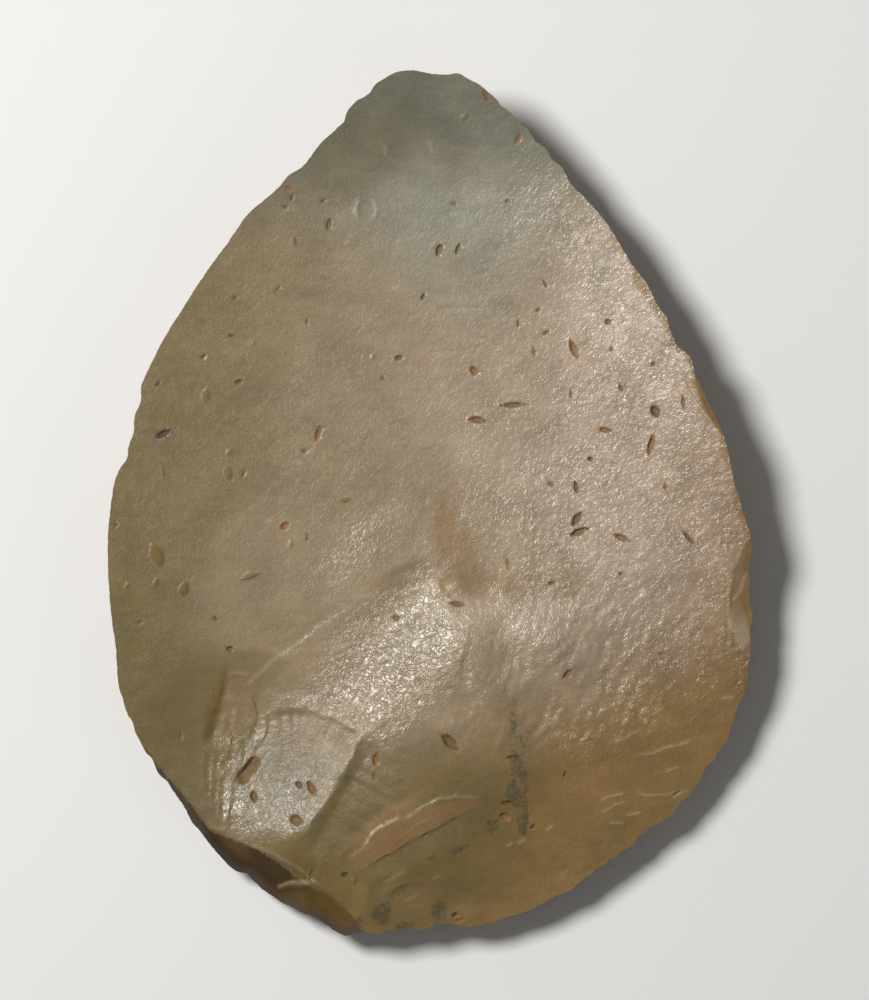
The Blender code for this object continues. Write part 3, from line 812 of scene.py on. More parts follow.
# Random patterns in the stone: waves a metre, detail, roughness, and where drawn out the turn in
# degrees, stretch and sway. Those that shade it are read between the levels of PATTERN_RANGE.
PATTERN_RANGE = (0.3, 0.7)
SHEEN = (900.0, 3.0, 0.6)
GRAIN = (1080.0, 2.0, 0.55, -50.0, (0.60, 1.0, 1.0))
PITS = (2600.0, 2.0, 0.6)
THREADS = (1250.0, 2.0, 0.5, 0.0, (1.0, 1.0, 1.0), 0.9)
SPECKS = (1900.0, 3.0, 0.7)

# Patterns that shade the stone, each with how dark and how bright it makes it, and how much the
# grain darkens and brightens it: painted shade in the grain's hollows and painted light on its
# crests
MOTTLES = [
    ((2600.0, 2.0, 0.6), (0.94, 1.06)),
    ((700.0, 3.0, 0.6, -48.0, (0.3, 1.0, 1.0)), (0.93, 1.07)),
    ((160.0, 3.0, 0.5), (0.88, 1.12)),
]
GRAIN_SHADES = (-0.09, 0.09)

# The dark specks: how much a stain adds to their pattern, the levels between which they come in,
# and how strong they get
SPECKS_BY_STAIN = 0.5
SPECKS_RANGE = (0.70, 1.00)
SPECKS_WHOLE = 0.85

# The stone's shine: its roughness, what matt places add to that, how strong highlights are
# where it is silky and where it is matt, and how much it bends light
SHEEN_ROUGHNESS = (0.30, 0.40)
MATT_ROUGHNESS = 0.4
HIGHLIGHTS = (0.72, 0.05)
REFRACTION = 1.54

# The finest relief: how wide and how high winding threads are, how high pits and grain are, its
# strength where the grain is calm and at its liveliest, and its depth in metres
THREAD_WIDTH = 0.10
THREAD_HEIGHT = 0.17
PITS_HEIGHT = 0.18
GRAIN_HEIGHT = 0.45
RELIEF_STRENGTH = (0.16, 0.60)
LIVELIEST = 1.5
RELIEF_DEPTH = 0.00060

# Edges of the mesh that turn by more degrees than this are sharp
SHARP_FROM = 35.0

# The floor, the light of the room, and the lamps: name, bearing, degrees from straight above,
# distance, size and power
FLOOR_SIZE = 4.0
FLOOR_COLOUR = (0.72, 0.71, 0.69)
FLOOR_ROUGHNESS = 0.8
ROOM_LIGHT = 0.14
LAMPS = [("key", 148.0, 35.0, 0.80, 0.24, 7.2), ("fill", -40.0, 55.0, 1.2, 0.8, 0.8)]

# The camera: lens and sensor in millimetres, and the picture's height and middle in pixels
LENS = 600.0
SENSOR_HEIGHT = 36.0
PICTURE_HEIGHT = 1000.0
PICTURE_MIDDLE = (434.5, 500.0)


def place(share):
    """A point of the flake in metres, from its shares of the width and the length."""
    return np.array([share[0] * WIDTH, share[1] * LENGTH])


def spot(x, y):
    """A point of the flake in metres, from its place in the photograph."""
    return np.array([(x - PHOTO_MIDDLE[0]) * PIXEL, (PHOTO_MIDDLE[1] - y) * PIXEL])


def pixels(points):
    """The points' places in the photograph, across and down."""
    return points[:, 0] / PIXEL + PHOTO_MIDDLE[0], PHOTO_MIDDLE[1] - points[:, 1] / PIXEL


def heading(degrees):
    """The unit vector of a bearing, counted from +X towards +Y."""
    angle = math.radians(degrees)
    return np.array([math.cos(angle), math.sin(angle)])


def turned(offsets, bearing):
    """How far each offset goes along a bearing, and how far to the left of it."""
    ahead = heading(bearing)
    return offsets @ ahead, offsets @ np.array([-ahead[1], ahead[0]])


def smooth(t):
    """0 below 0, 1 above 1, and a smooth step between."""
    t = np.clip(t, 0.0, 1.0)
    return t * t * (3.0 - 2.0 * t)


def past(share, start):
    """How far a share is past a start, 0 before it and 1 where the share is 1."""
    return np.clip((share - start) / (1.0 - start), 0.0, None)


def noise(points, size, seed, bearing=0.0, stretch=1.0):
    """Smooth random waves from about -1 to 1, of a size, drawn out along a bearing."""
    table = np.random.default_rng(seed).uniform(0.0, 2.0 * math.pi, (DIRECTIONS, DIRECTIONS))
    along, aside = turned(points, bearing)
    u = along / (size * stretch) + DIRECTIONS_START[0]
    v = aside / size + DIRECTIONS_START[1]
    i, j = np.floor(u).astype(int), np.floor(v).astype(int)
    fu, fv = u - i, v - j
    corners = []
    for di in (0, 1):
        for dj in (0, 1):
            angle = table[(i + di) % DIRECTIONS, (j + dj) % DIRECTIONS]
            corners.append((fu - di) * np.cos(angle) + (fv - dj) * np.sin(angle))
    su, sv = smooth(fu), smooth(fv)
    near = corners[0] + (corners[1] - corners[0]) * sv
    far = corners[2] + (corners[3] - corners[2]) * sv
    return WAVE_GAIN * (near + (far - near) * su)


def layered(points, layers):
    """Several random waves added up."""
    return sum(strength * noise(points, *wave) for strength, *wave in layers)


def crinkled(points, size, seed, bearing, stretch):
    """Thin winding ridges from 0 to 1, about a size apart, drawn out along a bearing."""
    sway = np.column_stack([noise(points, SWAY_SIZE * size, seed + shift) for shift in (1, 2)])
    waves = noise(points + SWAY * size * sway, size, seed, bearing, stretch)
    return np.clip(1.0 - NARROWNESS * np.abs(waves), 0.0, 1.0)


def smooth_loop(points, steps):
    """A closed curve through the points, with that many steps from each to the next."""
    chords = np.linalg.norm(np.roll(points, -1, axis=0) - points, axis=1)
    before = (points - np.roll(points, 1, axis=0)) / np.roll(chords, 1)[:, None]
    after = (np.roll(points, -1, axis=0) - points) / chords[:, None]
    weight = chords / (chords + np.roll(chords, 1))
    tangents = after * (1.0 - weight)[:, None] + before * weight[:, None]
    curve = []
    for i, start in enumerate(points):
        j = (i + 1) % len(points)
        leave, arrive = tangents[i] * chords[i], tangents[j] * chords[i]
        for t in np.arange(steps) / steps:
            curve.append(
                (2 * t**3 - 3 * t**2 + 1) * start
                + (t**3 - 2 * t**2 + t) * leave
                + (3 * t**2 - 2 * t**3) * points[j]
                + (t**3 - t**2) * arrive
            )
    return np.array(curve)


def evenly(loop, spacing):
    """The closed loop again, as points that lie about that far apart along it."""
    closed = np.vstack([loop, loop[:1]])
    along = np.concatenate([[0.0], np.cumsum(np.linalg.norm(np.diff(closed, axis=0), axis=1))])
    stops = np.linspace(0.0, along[-1], max(12, round(along[-1] / spacing)), endpoint=False)
    return np.column_stack([np.interp(stops, along, closed[:, k]) for k in (0, 1)])


def loop_lengths(loop):
    """How far round the loop each point lies, and the whole way round."""
    steps = np.linalg.norm(np.roll(loop, -1, axis=0) - loop, axis=1)
    return np.concatenate([[0.0], np.cumsum(steps)[:-1]]), steps.sum()


def way_round(a, b, total):
    """The distance from b to a along a closed loop, the short way, with its sign."""
    return (a - b + total / 2.0) % total - total / 2.0


def trim_scars(total):
    """The short scars round the edge: middle and half width along the edge, and steepness."""
    chance = random.Random(TRIM_SEED)
    widths = []
    while sum(widths) < total:
        widths.append(chance.uniform(TRIM_WIDTH_LEAST, TRIM_WIDTH_MOST))
    fit = total / sum(widths)
    scars = []
    reached = 0.0
    for width in widths:
        spread = chance.uniform(1.0 - TRIM_SPREAD, 1.0 + TRIM_SPREAD)
        steepness = math.tan(math.radians(TRIM_ANGLE)) * spread
        scars.append((reached + width * fit / 2.0, width * fit / 2.0, steepness))
        reached += width * fit
    return scars


def crumbled(loop):
    """The outline with its edge slightly crumbled, always inwards."""
    tangent = np.roll(loop, -1, axis=0) - np.roll(loop, 1, axis=0)
    tangent /= np.linalg.norm(tangent, axis=1)[:, None]
    inward = np.column_stack([-tangent[:, 1], tangent[:, 0]])
    depth = sum(deep * np.abs(noise(loop, size, seed)) for deep, size, seed in CRUMBLES)
    return loop + inward * depth[:, None]


def edge_distance(points, loop):
    """How far each point lies inside the loop, and how far round the loop its nearest spot is."""
    along, total = loop_lengths(loop)
    step = np.roll(loop, -1, axis=0) - loop
    length = np.linalg.norm(step, axis=1)
    away = np.empty(len(points))
    position = np.empty(len(points))
    for first in range(0, len(points), BATCH):
        some = slice(first, first + BATCH)
        offset = points[some, None, :] - loop[None, :, :]
        share = np.clip((offset * step).sum(2) / length**2, 0.0, 1.0)
        gap = np.linalg.norm(offset - share[:, :, None] * step, axis=2)
        nearest = gap.argmin(axis=1)
        row = np.arange(len(nearest))
        away[some] = gap[row, nearest]
        position[some] = (along[nearest] + share[row, nearest] * length[nearest]) % total
    return away, position


def inside(points, loop):
    """Whether each point lies inside the loop."""
    x, y = points[:, 0], points[:, 1]
    found = np.zeros(len(points), bool)
    for (x0, y0), (x1, y1) in zip(loop, np.roll(loop, -1, axis=0)):
        crosses = (y0 > y) != (y1 > y)
        if crosses.any():
            found ^= crosses & (x < x0 + (y - y0) * (x1 - x0) / (y1 - y0))
    return found


def tree_of(points):
    """A tree that finds the nearest of these points."""
    tree = kdtree.KDTree(len(points))
    for number, (x, y) in enumerate(points):
        tree.insert((x, y, 0.0), number)
    tree.balance()
    return tree


def nearest_gap(points, others):
    """How far each point lies from the nearest of the others."""
    tree = tree_of(others)
    return np.array([tree.find((x, y, 0.0))[2] for x, y in points])


def oval(points, x, y, half_long, half_wide, bearing):
    """How far out each point lies in an oval given in photograph pixels: 0 amid, 1 on it."""
    along, aside = turned(points - spot(x, y), bearing)
    return (along / (half_long * PIXEL)) ** 2 + (aside / (half_wide * PIXEL)) ** 2


def bulb(points):
    """Height that the bulb adds: steep on the left, long on the right, with a blunt slanted end."""
    ahead, aside = turned(points - place(STRUCK_POINT), BULB_BEARING)
    left = aside - BULB_CREST
    share = np.clip(np.where(left > 0.0, left / BULB_LEFT, -left / BULB_RIGHT), 0.0, 1.0)
    begins = smooth(ahead / BULB_START + 0.5)
    ends = 1.0 - smooth((ahead + BULB_SLANT * left - BULB_LENGTH + BULB_END) / BULB_END)
    return BULB_HEIGHT * (1.0 - share**2) ** np.where(left > 0.0, 3.0, 2.0) * begins * ends


def shoulder(points):
    """Height of the small dome beside the end of the bulb."""
    share = np.linalg.norm(points - place(SHOULDER_PLACE), axis=1) / SHOULDER_RADIUS
    return SHOULDER_HEIGHT * np.clip(1.0 - share**2, 0.0, 1.0) ** 2


def split_face(points):
    """Height of the split face: hollow towards the tip, and falling away round the base."""
    across = 2.0 * points[:, 0] / WIDTH
    along = 2.0 * points[:, 1] / LENGTH
    upper = smooth((along - CORNER_FALL_WHOLE) / (CORNER_FALL_NONE - CORNER_FALL_WHOLE))
    side = np.where(across > 0.0, RIGHT_RISE * upper - LOW_CORNER_FALL * (1.0 - upper), LEFT_RISE)
    height = BODY_THICKNESS + side * across**2
    height += TIP_RISE * past(along, TIP_RISE_START) ** 2
    height += TIP_TURN * past(along, TIP_TURN_START) ** 1.5
    height -= BASE_FALL * past(-along, BASE_FALL_START) ** 2
    for *where, tall in SWELLS:
        height += tall * np.clip(1.0 - oval(points, *where), 0.0, 1.0) ** 2
    return height + bulb(points) + shoulder(points)


def bent_line(start, bend, end, legs):
    """Points along a line drawn in photograph pixels that bends towards a point between."""
    start, bend, end = spot(*start), spot(*bend), spot(*end)
    t = np.linspace(0.0, 1.0, legs + 1)[:, None]
    return (1.0 - t) ** 2 * start + 2.0 * t * (1.0 - t) * bend + t**2 * end


def beside_line(points, corners):
    """For each point: its gap to the line, which side it is on, and its share along the line."""
    legs = np.diff(corners, axis=0)
    lengths = np.linalg.norm(legs, axis=1)
    offset = points[:, None, :] - corners[None, :-1, :]
    share = np.clip((offset * legs).sum(2) / lengths**2, 0.0, 1.0)
    gap = np.linalg.norm(offset - share[:, :, None] * legs, axis=2)
    leg = gap.argmin(axis=1)
    row = np.arange(len(points))
    side = legs[leg, 0] * offset[row, leg, 1] - legs[leg, 1] * offset[row, leg, 0]
    before = np.concatenate([[0.0], np.cumsum(lengths)[:-1]])
    along = (before[leg] + share[row, leg] * lengths[leg]) / lengths.sum()
    return gap[row, leg], side, along


def stray(points):
    """A small random shift at each point, which makes drawn lines uneven."""
    return STRAY * np.column_stack([noise(points, STRAY_SIZE, seed) for seed in STRAY_SEEDS])


def close_to(points, corners, margin):
    """Which points lie within a margin of the box round the corners."""
    low, high = corners.min(axis=0) - margin, corners.max(axis=0) + margin
    return ((points > low) & (points < high)).all(axis=1)


def step_drop(points, step):
    """How far a step lowers each point: most just past its line, fading away and at its ends."""
    start, bend, end, drop, width, reach, fade = step
    corners = bent_line(start, bend, end, STEP_LEGS)
    close = close_to(points, corners, STEP_REACHES * reach)
    lowered = np.zeros(len(points))
    beside, side, along = beside_line(points[close] + stray(points[close]), corners)
    signed = np.where(side < 0.0, beside, -beside)
    ends = smooth(fade * along) * smooth(fade * (1.0 - along))
    shape = np.clip(signed / width, 0.0, 1.0) * np.exp(-((signed / reach) ** 2))
    stations = spot(*start) + np.outer(along, (STEP_LENGTH, 0.0))
    lowered[close] = drop * ends * shape * (STEP_LEVEL + layered(stations, [STEP_WAVES]))
    return lowered


def scar_surface(points, scar):
    """A hollow scar's own surface, which dips along its bearing, wherever it would cut."""
    share, bearing, half_length, half_width, depth, dip = scar
    along, aside = turned(points - place(share), bearing)
    rim = split_face(place(share)[None, :])[0]
    bowl = (along / half_length) ** 2 + (aside / half_width) ** 2
    return rim - math.tan(math.radians(dip)) * along - depth * (1.0 - bowl)


def chip_cut(points, chip):
    """How far a small chip of the edge goes below the face at each point."""
    x, y, bearing, half_long, half_wide, depth, dip = chip
    along = turned(points - spot(x, y), bearing)[0]
    bowl = oval(points, x, y, half_long, half_wide, bearing)
    return math.tan(math.radians(dip)) * along + depth * (1.0 - bowl)


def upper_surface(points):
    """Height of the split face without fine relief, and a number that changes between scars."""
    height = split_face(points)
    made_by = np.zeros(len(points), int)
    for number, chip in enumerate(CHIPS, start=FIRST_CHIP):
        cut = chip_cut(points, chip)
        made_by[cut > 0.0] = number
        height = height - np.maximum(cut, 0.0)
    for scars, first in ((FACE_SCARS, 1), (BASE_SCARS, FIRST_STRUCK)):
        for number, scar in enumerate(scars, start=first):
            cut = scar_surface(points, scar)
            made_by[cut < height] = number
            softly = -SOFT_BORDER * np.logaddexp(-height / SOFT_BORDER, -cut / SOFT_BORDER)
            left = smooth((SOFT_FROM - points[:, 0]) / SOFT_WITHIN)
            height = np.minimum(height, cut) * (1.0 - left) + softly * left
    for number, step in enumerate(STEPS, start=1):
        lowered = step_drop(points, step)
        made_by[lowered > LEAST_DROP] += STEP_CODE * number
        height = height - lowered
    return np.maximum(height, LOWEST_EDGE), made_by


def struck(made_by):
    """Whether each point lies in a scar of the struck base."""
    return made_by % STEP_CODE >= FIRST_STRUCK


def chipped(made_by):
    """Whether each point lies in a small scar of the edge."""
    return (made_by % STEP_CODE >= FIRST_EDGE_SCAR) & ~struck(made_by)


def lower_surface(points, rim, plain, scars):
    """Height of the underside, and the number of the scar that made each point, 0 for skin."""
    height = np.zeros(len(points))
    made_by = np.zeros(len(points), int)
    offset = points - place(SKIN_PLACE)
    for number, (bearing, start, shift, rise, hollow) in enumerate(BROAD_SCARS, start=1):
        out = heading(bearing)
        reach = start * math.hypot(out[0] * SKIN_WIDTH / 2.0, out[1] * SKIN_LENGTH / 2.0)
        ahead, aside = turned(offset, bearing)
        cut = rise * (ahead - reach) - (aside - shift * SKIN_WIDTH) ** 2 / (2.0 * hollow)
        made_by[cut > height] = number
        height = np.maximum(height, cut)
    away = edge_distance(points, rim)[0]
    position = edge_distance(points, plain)[1]
    along, total = loop_lengths(plain)
    edge_heights = upper_surface(plain)[0]
    edge = np.interp(position, np.append(along, total), np.append(edge_heights, edge_heights[0]))
    for number, (middle, half, steepness) in enumerate(scars, start=1 + len(BROAD_SCARS)):
        share = way_round(position, middle, total) / half
        drop = steepness * away / (1.0 + away / TRIM_REACH)
        cut = edge - drop - TRIM_RIDGE * share**2 * np.minimum(1.0, away / half)
        made_by[cut > height] = number
        height = np.maximum(height, cut)
    tall, size, seed = UNDER_WAVES
    waves = np.where(made_by > 0, tall * noise(points, size, seed), 0.0)
    height += waves * smooth(away / UNDER_WAVES_START)
    thickness = np.minimum(EDGE_SLOPE * away, LEAST_THICKNESS)
    height = np.minimum(height, upper_surface(points)[0] - thickness)
    return np.maximum(height, 0.0), made_by


def fossil_shape(points, fossil):
    """The fossil's height at each point, and how much of its colour shows there."""
    x, y, long, wide, bearing, share, _ = fossil
    out = np.full(len(points), 9.0)
    close = (np.abs(points - spot(x, y)) < FOSSIL_REACH * long * PIXEL).all(axis=1)
    along, aside = turned(points[close] - spot(x, y), bearing)
    along = np.abs(along) / (long * PIXEL / 2.0)
    aside = np.abs(aside) / (wide * PIXEL / 2.0)
    pointed = smooth(long / wide - POINTED_FROM)
    out[close] = pointed * (aside + along**2) + (1.0 - pointed) * np.hypot(along, aside)
    if long > BLUNT_FROM:
        out[close] = (along**4 + aside**4) ** 0.25
    out[close] += layered(points[close], FOSSIL_RIM)
    dome = smooth((HOLLOW_RIM - out) / HOLLOW_SLOPE)
    dome *= DEEP_STEEPER if share > DEEP_FROM else 1.0
    lip = LIP_HEIGHT * np.exp(-(((out - LIP_PLACE) / LIP_WIDTH) ** 2))
    return -share * wide * PIXEL * (dome - lip), smooth((COLOUR_RIM - out) / COLOUR_SOFT)


def welt_shape(points, welt):
    """Height of a fine raised or hollow line at each point."""
    *line, half, share = welt
    corners = bent_line(*line, WELT_LEGS)
    close = close_to(points, corners, WELT_REACH * half * PIXEL)
    height = np.zeros(len(points))
    gap, _, along = beside_line(points[close] + stray(points[close]), corners)
    ends = smooth(WELT_FADE * along) * smooth(WELT_FADE * (1.0 - along))
    height[close] = share * half * PIXEL * ends * np.exp(-((gap / (half * PIXEL)) ** 2))
    return height


def blot(points, x, y, half_long, half_wide, bearing, soft=1.0):
    """1 inside an oval given in photograph pixels, 0 outside it, with a soft uneven border."""
    out = np.sqrt(oval(points, x, y, half_long, half_wide, bearing))
    out += layered(points, [OVAL_UNEVEN]) * soft
    return smooth((1.0 + soft / 2.0 - out) / soft)


def liveliness(points):
    """How lively the grain is at each point: weak on the left, strong on the right and bulb."""
    x = pixels(points)[0]
    lively = LIVELY_LEFT + (1.0 - LIVELY_LEFT) * smooth((x - LIVELY_FROM) / LIVELY_WITHIN)
    patches = smooth(0.5 + PATCHY_CONTRAST * layered(points, PATCHY))
    lively *= PATCHY_LEAST + PATCHY_MORE * patches
    for share, *patch in LIVELY_PATCHES:
        here = share * blot(points, *patch)
        lively = lively * (1.0 + here) if share < 0.0 else np.maximum(lively, here)
    return lively


def ramped(points, name):
    """How far each point is within a place that begins gradually, from 0 to 1."""
    x, y = pixels(points)
    wander = layered(points, WANDER)
    share = np.ones(len(points))
    for by_x, by_y, by_wander, start, width in RAMPS[name]:
        share *= smooth((by_x * x + by_y * y + by_wander * wander - start) / width)
    return share


def fine_relief(points, made_by):
    """Height of all the fine relief of the split face at each point."""
    lively = liveliness(points)
    places = {"all": 1.0, "lively": lively, "low": ramped(points, "low")}
    height = RISE_HEIGHT * np.clip(1.0 - oval(points, *RISE), 0.0, 1.0) ** 2
    for tall, name, size, seed, bearing, stretch, *patch in WAVES:
        share = places[name] * (blot(points, *patch) if patch else 1.0)
        height += tall * share * noise(points, size, seed, bearing, stretch)
    for tall, *ridges in CRINKLES:
        height += tall * lively * crinkled(points, *ridges)
    height = np.where(struck(made_by) | chipped(made_by), SCAR_RELIEF * height, height)
    for fossil in FOSSILS:
        height = height + fossil_shape(points, fossil)[0]
    for welt in WELTS:
        height = height + welt_shape(points, welt)
    return height


def lattice(loop, spacing):
    """Points in staggered rows that fill the loop, a little clear of it."""
    low, high = loop.min(axis=0), loop.max(axis=0)
    rows = []
    row_step = spacing * math.sqrt(3.0) / 2.0
    for number, y in enumerate(np.arange(low[1] + row_step, high[1], row_step)):
        xs = np.arange(low[0] + spacing * (0.5 if number % 2 else 1.0), high[0], spacing)
        rows.append(np.column_stack([xs, np.full(len(xs), y)]))
    points = np.vstack(rows)
    points = points[inside(points, loop)]
    return points[nearest_gap(points, loop) > LATTICE_TO_RIM * spacing]


def triangles(loop, points):
    """The points of the loop and inside it joined by triangles that face up."""
    everything = [Vector(p) for p in np.vstack([loop, points])]
    rim = list(range(len(loop)))
    found = delaunay_2d_cdt(everything, [], [rim], 1, SAME_POINT)
    first = [source[0] for source in found[3]]
    return np.array([[first[i] for i in face] for face in found[2]])


def ridge_points(loop, points, surface):
    """Points where the lattice's edges cross from one scar to another."""
    everything = np.vstack([loop, points])
    faces = triangles(loop, points)
    edges = np.vstack([faces[:, [0, 1]], faces[:, [1, 2]], faces[:, [2, 0]]])
    edges = np.unique(np.sort(edges, axis=1), axis=0)
    made_by = surface(everything)[1]
    edges = edges[made_by[edges[:, 0]] != made_by[edges[:, 1]]]
    near, far = everything[edges[:, 0]], everything[edges[:, 1]]
    low, high = np.zeros(len(edges)), np.ones(len(edges))
    for _ in range(HALVINGS):
        middle = (low + high) / 2.0
        same = surface(near + (far - near) * middle[:, None])[1] == made_by[edges[:, 0]]
        low, high = np.where(same, middle, low), np.where(same, high, middle)
    return near + (far - near) * high[:, None]


def fossil_points(fossil):
    """Rings of points round a fossil's rim, and some inside it."""
    x, y, long, wide, bearing, _, _ = fossil
    ahead = heading(bearing)
    aside = np.array([-ahead[1], ahead[0]])
    found = [spot(x, y)]
    for ring in FOSSIL_RINGS:
        a, b = ring * long * PIXEL / 2.0, ring * wide * PIXEL / 2.0
        count = max(6, round(2.0 * math.pi * math.sqrt((a * a + b * b) / 2.0) / LINE_PITCH))
        for turn in np.arange(count) * 2.0 * math.pi / count:
            found.append(spot(x, y) + a * math.cos(turn) * ahead + b * math.sin(turn) * aside)
    return np.array(found)


def line_points(line, spacing, asides):
    """Points along a line drawn in photograph pixels, at each distance to the right of it."""
    legs = np.diff(np.array([spot(*corner) for corner in line]), axis=0)
    reach = np.linalg.norm(legs, axis=1).sum()
    corners = bent_line(*line, max(4, round(reach / spacing)))
    tangent = np.gradient(corners, axis=0)
    tangent /= np.linalg.norm(tangent, axis=1)[:, None]
    right = np.column_stack([tangent[:, 1], -tangent[:, 0]])
    found = np.vstack([corners + aside * right for aside in asides])
    return found - stray(found)


def welt_points(welt):
    """Points along a fine line, on it and on both sides."""
    *line, half, _ = welt
    beside = WELT_ASIDE * half * PIXEL
    return line_points(line, WELT_SPACING * LINE_PITCH, (beside, 0.0, -beside))


def step_points(step):
    """Points along a step, at the top and at the foot of its slope."""
    *line, _, width, _, _ = step
    return line_points(line, LINE_PITCH, (0.0, width))


def thinned(points, gap):
    """The points again without those that come closer than the gap to an earlier one."""
    cell = {}
    kept = []
    for point in points:
        i, j = int(point[0] // gap), int(point[1] // gap)
        near = [p for a in (-1, 0, 1) for b in (-1, 0, 1) for p in cell.get((i + a, j + b), ())]
        if all((point[0] - p[0]) ** 2 + (point[1] - p[1]) ** 2 > gap * gap for p in near):
            cell.setdefault((i, j), []).append(point)
            kept.append(point)
    return np.array(kept)


def lively_lattice(rim):
    """Points that fill the rim, closer together where the grain is lively."""
    fine, coarse = lattice(rim, FINE_PITCH), lattice(rim, FACE_PITCH)
    fine = fine[liveliness(fine) > FINE_FROM]
    coarse = coarse[liveliness(coarse) <= FINE_FROM]
    return np.vstack([coarse[nearest_gap(coarse, fine) > COARSE_TO_FINE * FINE_PITCH], fine])


def filled(rim, even, pitch, surface, extras):
    """Points inside the rim: an even lattice, with points on ridges and on fine detail first."""
    special = np.vstack([ridge_points(rim, even, surface)] + extras)
    special = thinned(special, SPECIAL_APART * LINE_PITCH)
    special = special[inside(special, rim)]
    special = special[nearest_gap(special, rim) > SPECIAL_TO_RIM * LINE_PITCH]
    return np.vstack([even[nearest_gap(even, special) > LATTICE_TO_SPECIAL * pitch], special])


def mixed(colours, colour, share):
    """The colours with another laid over them by a share."""
    return colours + (np.array(colour) - colours) * share[:, None]


def stripe_mask(points, above, below):
    """1 between two bent lines of the photograph, 0 outside, with soft ends."""
    gap_up, side_up, along = beside_line(points, bent_line(*above, BAND_LEGS))
    gap_low, side_low, _ = beside_line(points, bent_line(*below, BAND_LEGS))
    from_upper = np.where(side_up < 0, gap_up, -gap_up)
    from_lower = np.where(side_low > 0, gap_low, -gap_low)
    inner = smooth(np.minimum(from_upper, from_lower) / (BAND_BORDER * PIXEL) + 0.5)
    return inner * smooth(BAND_FADE * along) * smooth(BAND_FADE * (1.0 - along))


def edge_strip(points, away, reach, waves, soft):
    """1 along the edge as far in as a wavy reach, 0 further in, with a soft border."""
    return smooth((reach + layered(points, [waves]) - away) / soft)


def tint_places(points, made_by, away):
    """How much there is at each point of every place that the tints name."""
    places = {name: ramped(points, name) for name in RAMPS}
    places["all"] = 1.0
    places["mottle"] *= smooth(layered(points, [MOTTLE]))
    # The tip's grey, partly painted shade, weakens on the right and further down
    less = TIP_LESS_RIGHT * places["right of tip"] + TIP_LESS_BELOW * places["below tip"]
    places["tip"] *= TIP_LEVEL - less
    places["streaks"] = smooth(STREAKS_LEVEL + layered(points, STREAKS))
    places["stain"] *= places["streaks"]
    band = stripe_mask(points, *BAND)
    places["band"] = band * (BAND_LEVEL + layered(points, [BAND_WAVES]))
    places["beside band"] = 1.0 - band
    places["lower band"] = stripe_mask(points, *LOWER_BAND)
    base = struck(made_by)
    places["base"] = base
    # Painted shade on the struck base, lighter where the light catches it
    places["dark base"] = base * (1.0 - BASE_GLOW * places["glow"])
    places["second scar"] *= base
    places["base strip"] = base * edge_strip(points, away, *BASE_STRIP)
    places["chips"] = chipped(made_by)
    places["right rim"] *= edge_strip(points, away, *RIGHT_STRIP)
    return places


def tinted(colours, points, places, tints):
    """The colours with tints laid over them in turn."""
    for colour, strength, name, *patch in tints:
        share = strength * places[name]
        colours = mixed(colours, colour, share * blot(points, *patch) if patch else share)
    return colours


def face_colours(points, made_by, away):
    """The split face's colour at each point."""
    places = tint_places(points, made_by, away)
    colours = np.tile(np.array(BUFF), (len(points), 1))
    colours = tinted(colours, points, places, TINTS)
    for fossil in FOSSILS:
        strength = FOSSIL_TINT if fossil[5] > 0.0 else RAISED_TINT
        colours = mixed(colours, fossil[6], strength * fossil_shape(points, fossil)[1])
    colours = tinted(colours, points, places, EDGE_TINTS)
    # Raised lines turn pale cream, partly a paler worn crest and partly painted highlight; hollow
    # lines keep their colour
    for welt in WELTS:
        raised = welt_shape(points, welt) / (welt[3] * PIXEL)
        colours = mixed(colours, CREAM, np.clip(WELT_TINT_GAIN * raised, 0.0, WELT_TINT))
    return colours


def stained_places(points):
    """How much of the dark speckled stain shows at each point: the vein and some patches."""
    stained = np.zeros(len(points))
    close = (np.abs(points - spot(*VEIN_MIDDLE)) < VEIN_REACH * PIXEL).all(axis=1)
    stained[close] = stripe_mask(points[close] + stray(points[close]), *VEIN)
    stained[close] *= VEIN_LEVEL + layered(points[close], [VEIN_WAVES])
    stained[close] *= 1.0 - VEIN_TOP_LESS * blot(points[close], *VEIN_TOP)
    for patch in PATCHES:
        stained = np.maximum(stained, SPECKLED * blot(points, *patch))
    return stained


def dull_places(points, made_by):
    """How matt the stone is at each point, from 0 to 1: matt in fossils and the struck base."""
    dull = MATT_BASE * struck(made_by) + MATT_SCARS * chipped(made_by)
    for share, *patch in DULL_PATCHES:
        dull = np.maximum(dull, share * blot(points, *patch))
    for fossil in FOSSILS:
        dull = np.maximum(dull, fossil_shape(points, fossil)[1])
    return dull


def under_colours(points, made_by):
    """The underside's colour at each point: chalky skin, and flint in the scars."""
    colours = np.tile(np.array(BUFF), (len(points), 1))
    for colour, strength, size, seed, level in UNDER_TINTS:
        colours = mixed(colours, colour, strength * smooth(noise(points, size, seed) + level))
    return mixed(colours, CHALK, SKIN_TINT * (made_by == 0))


def keep(mesh, name, kind, field, values):
    """Stores values for the points of the mesh, under a name that its material reads."""
    attribute = mesh.attributes.new(name, kind, "POINT")
    attribute.data.foreach_set(field, values.astype(np.float32).ravel())


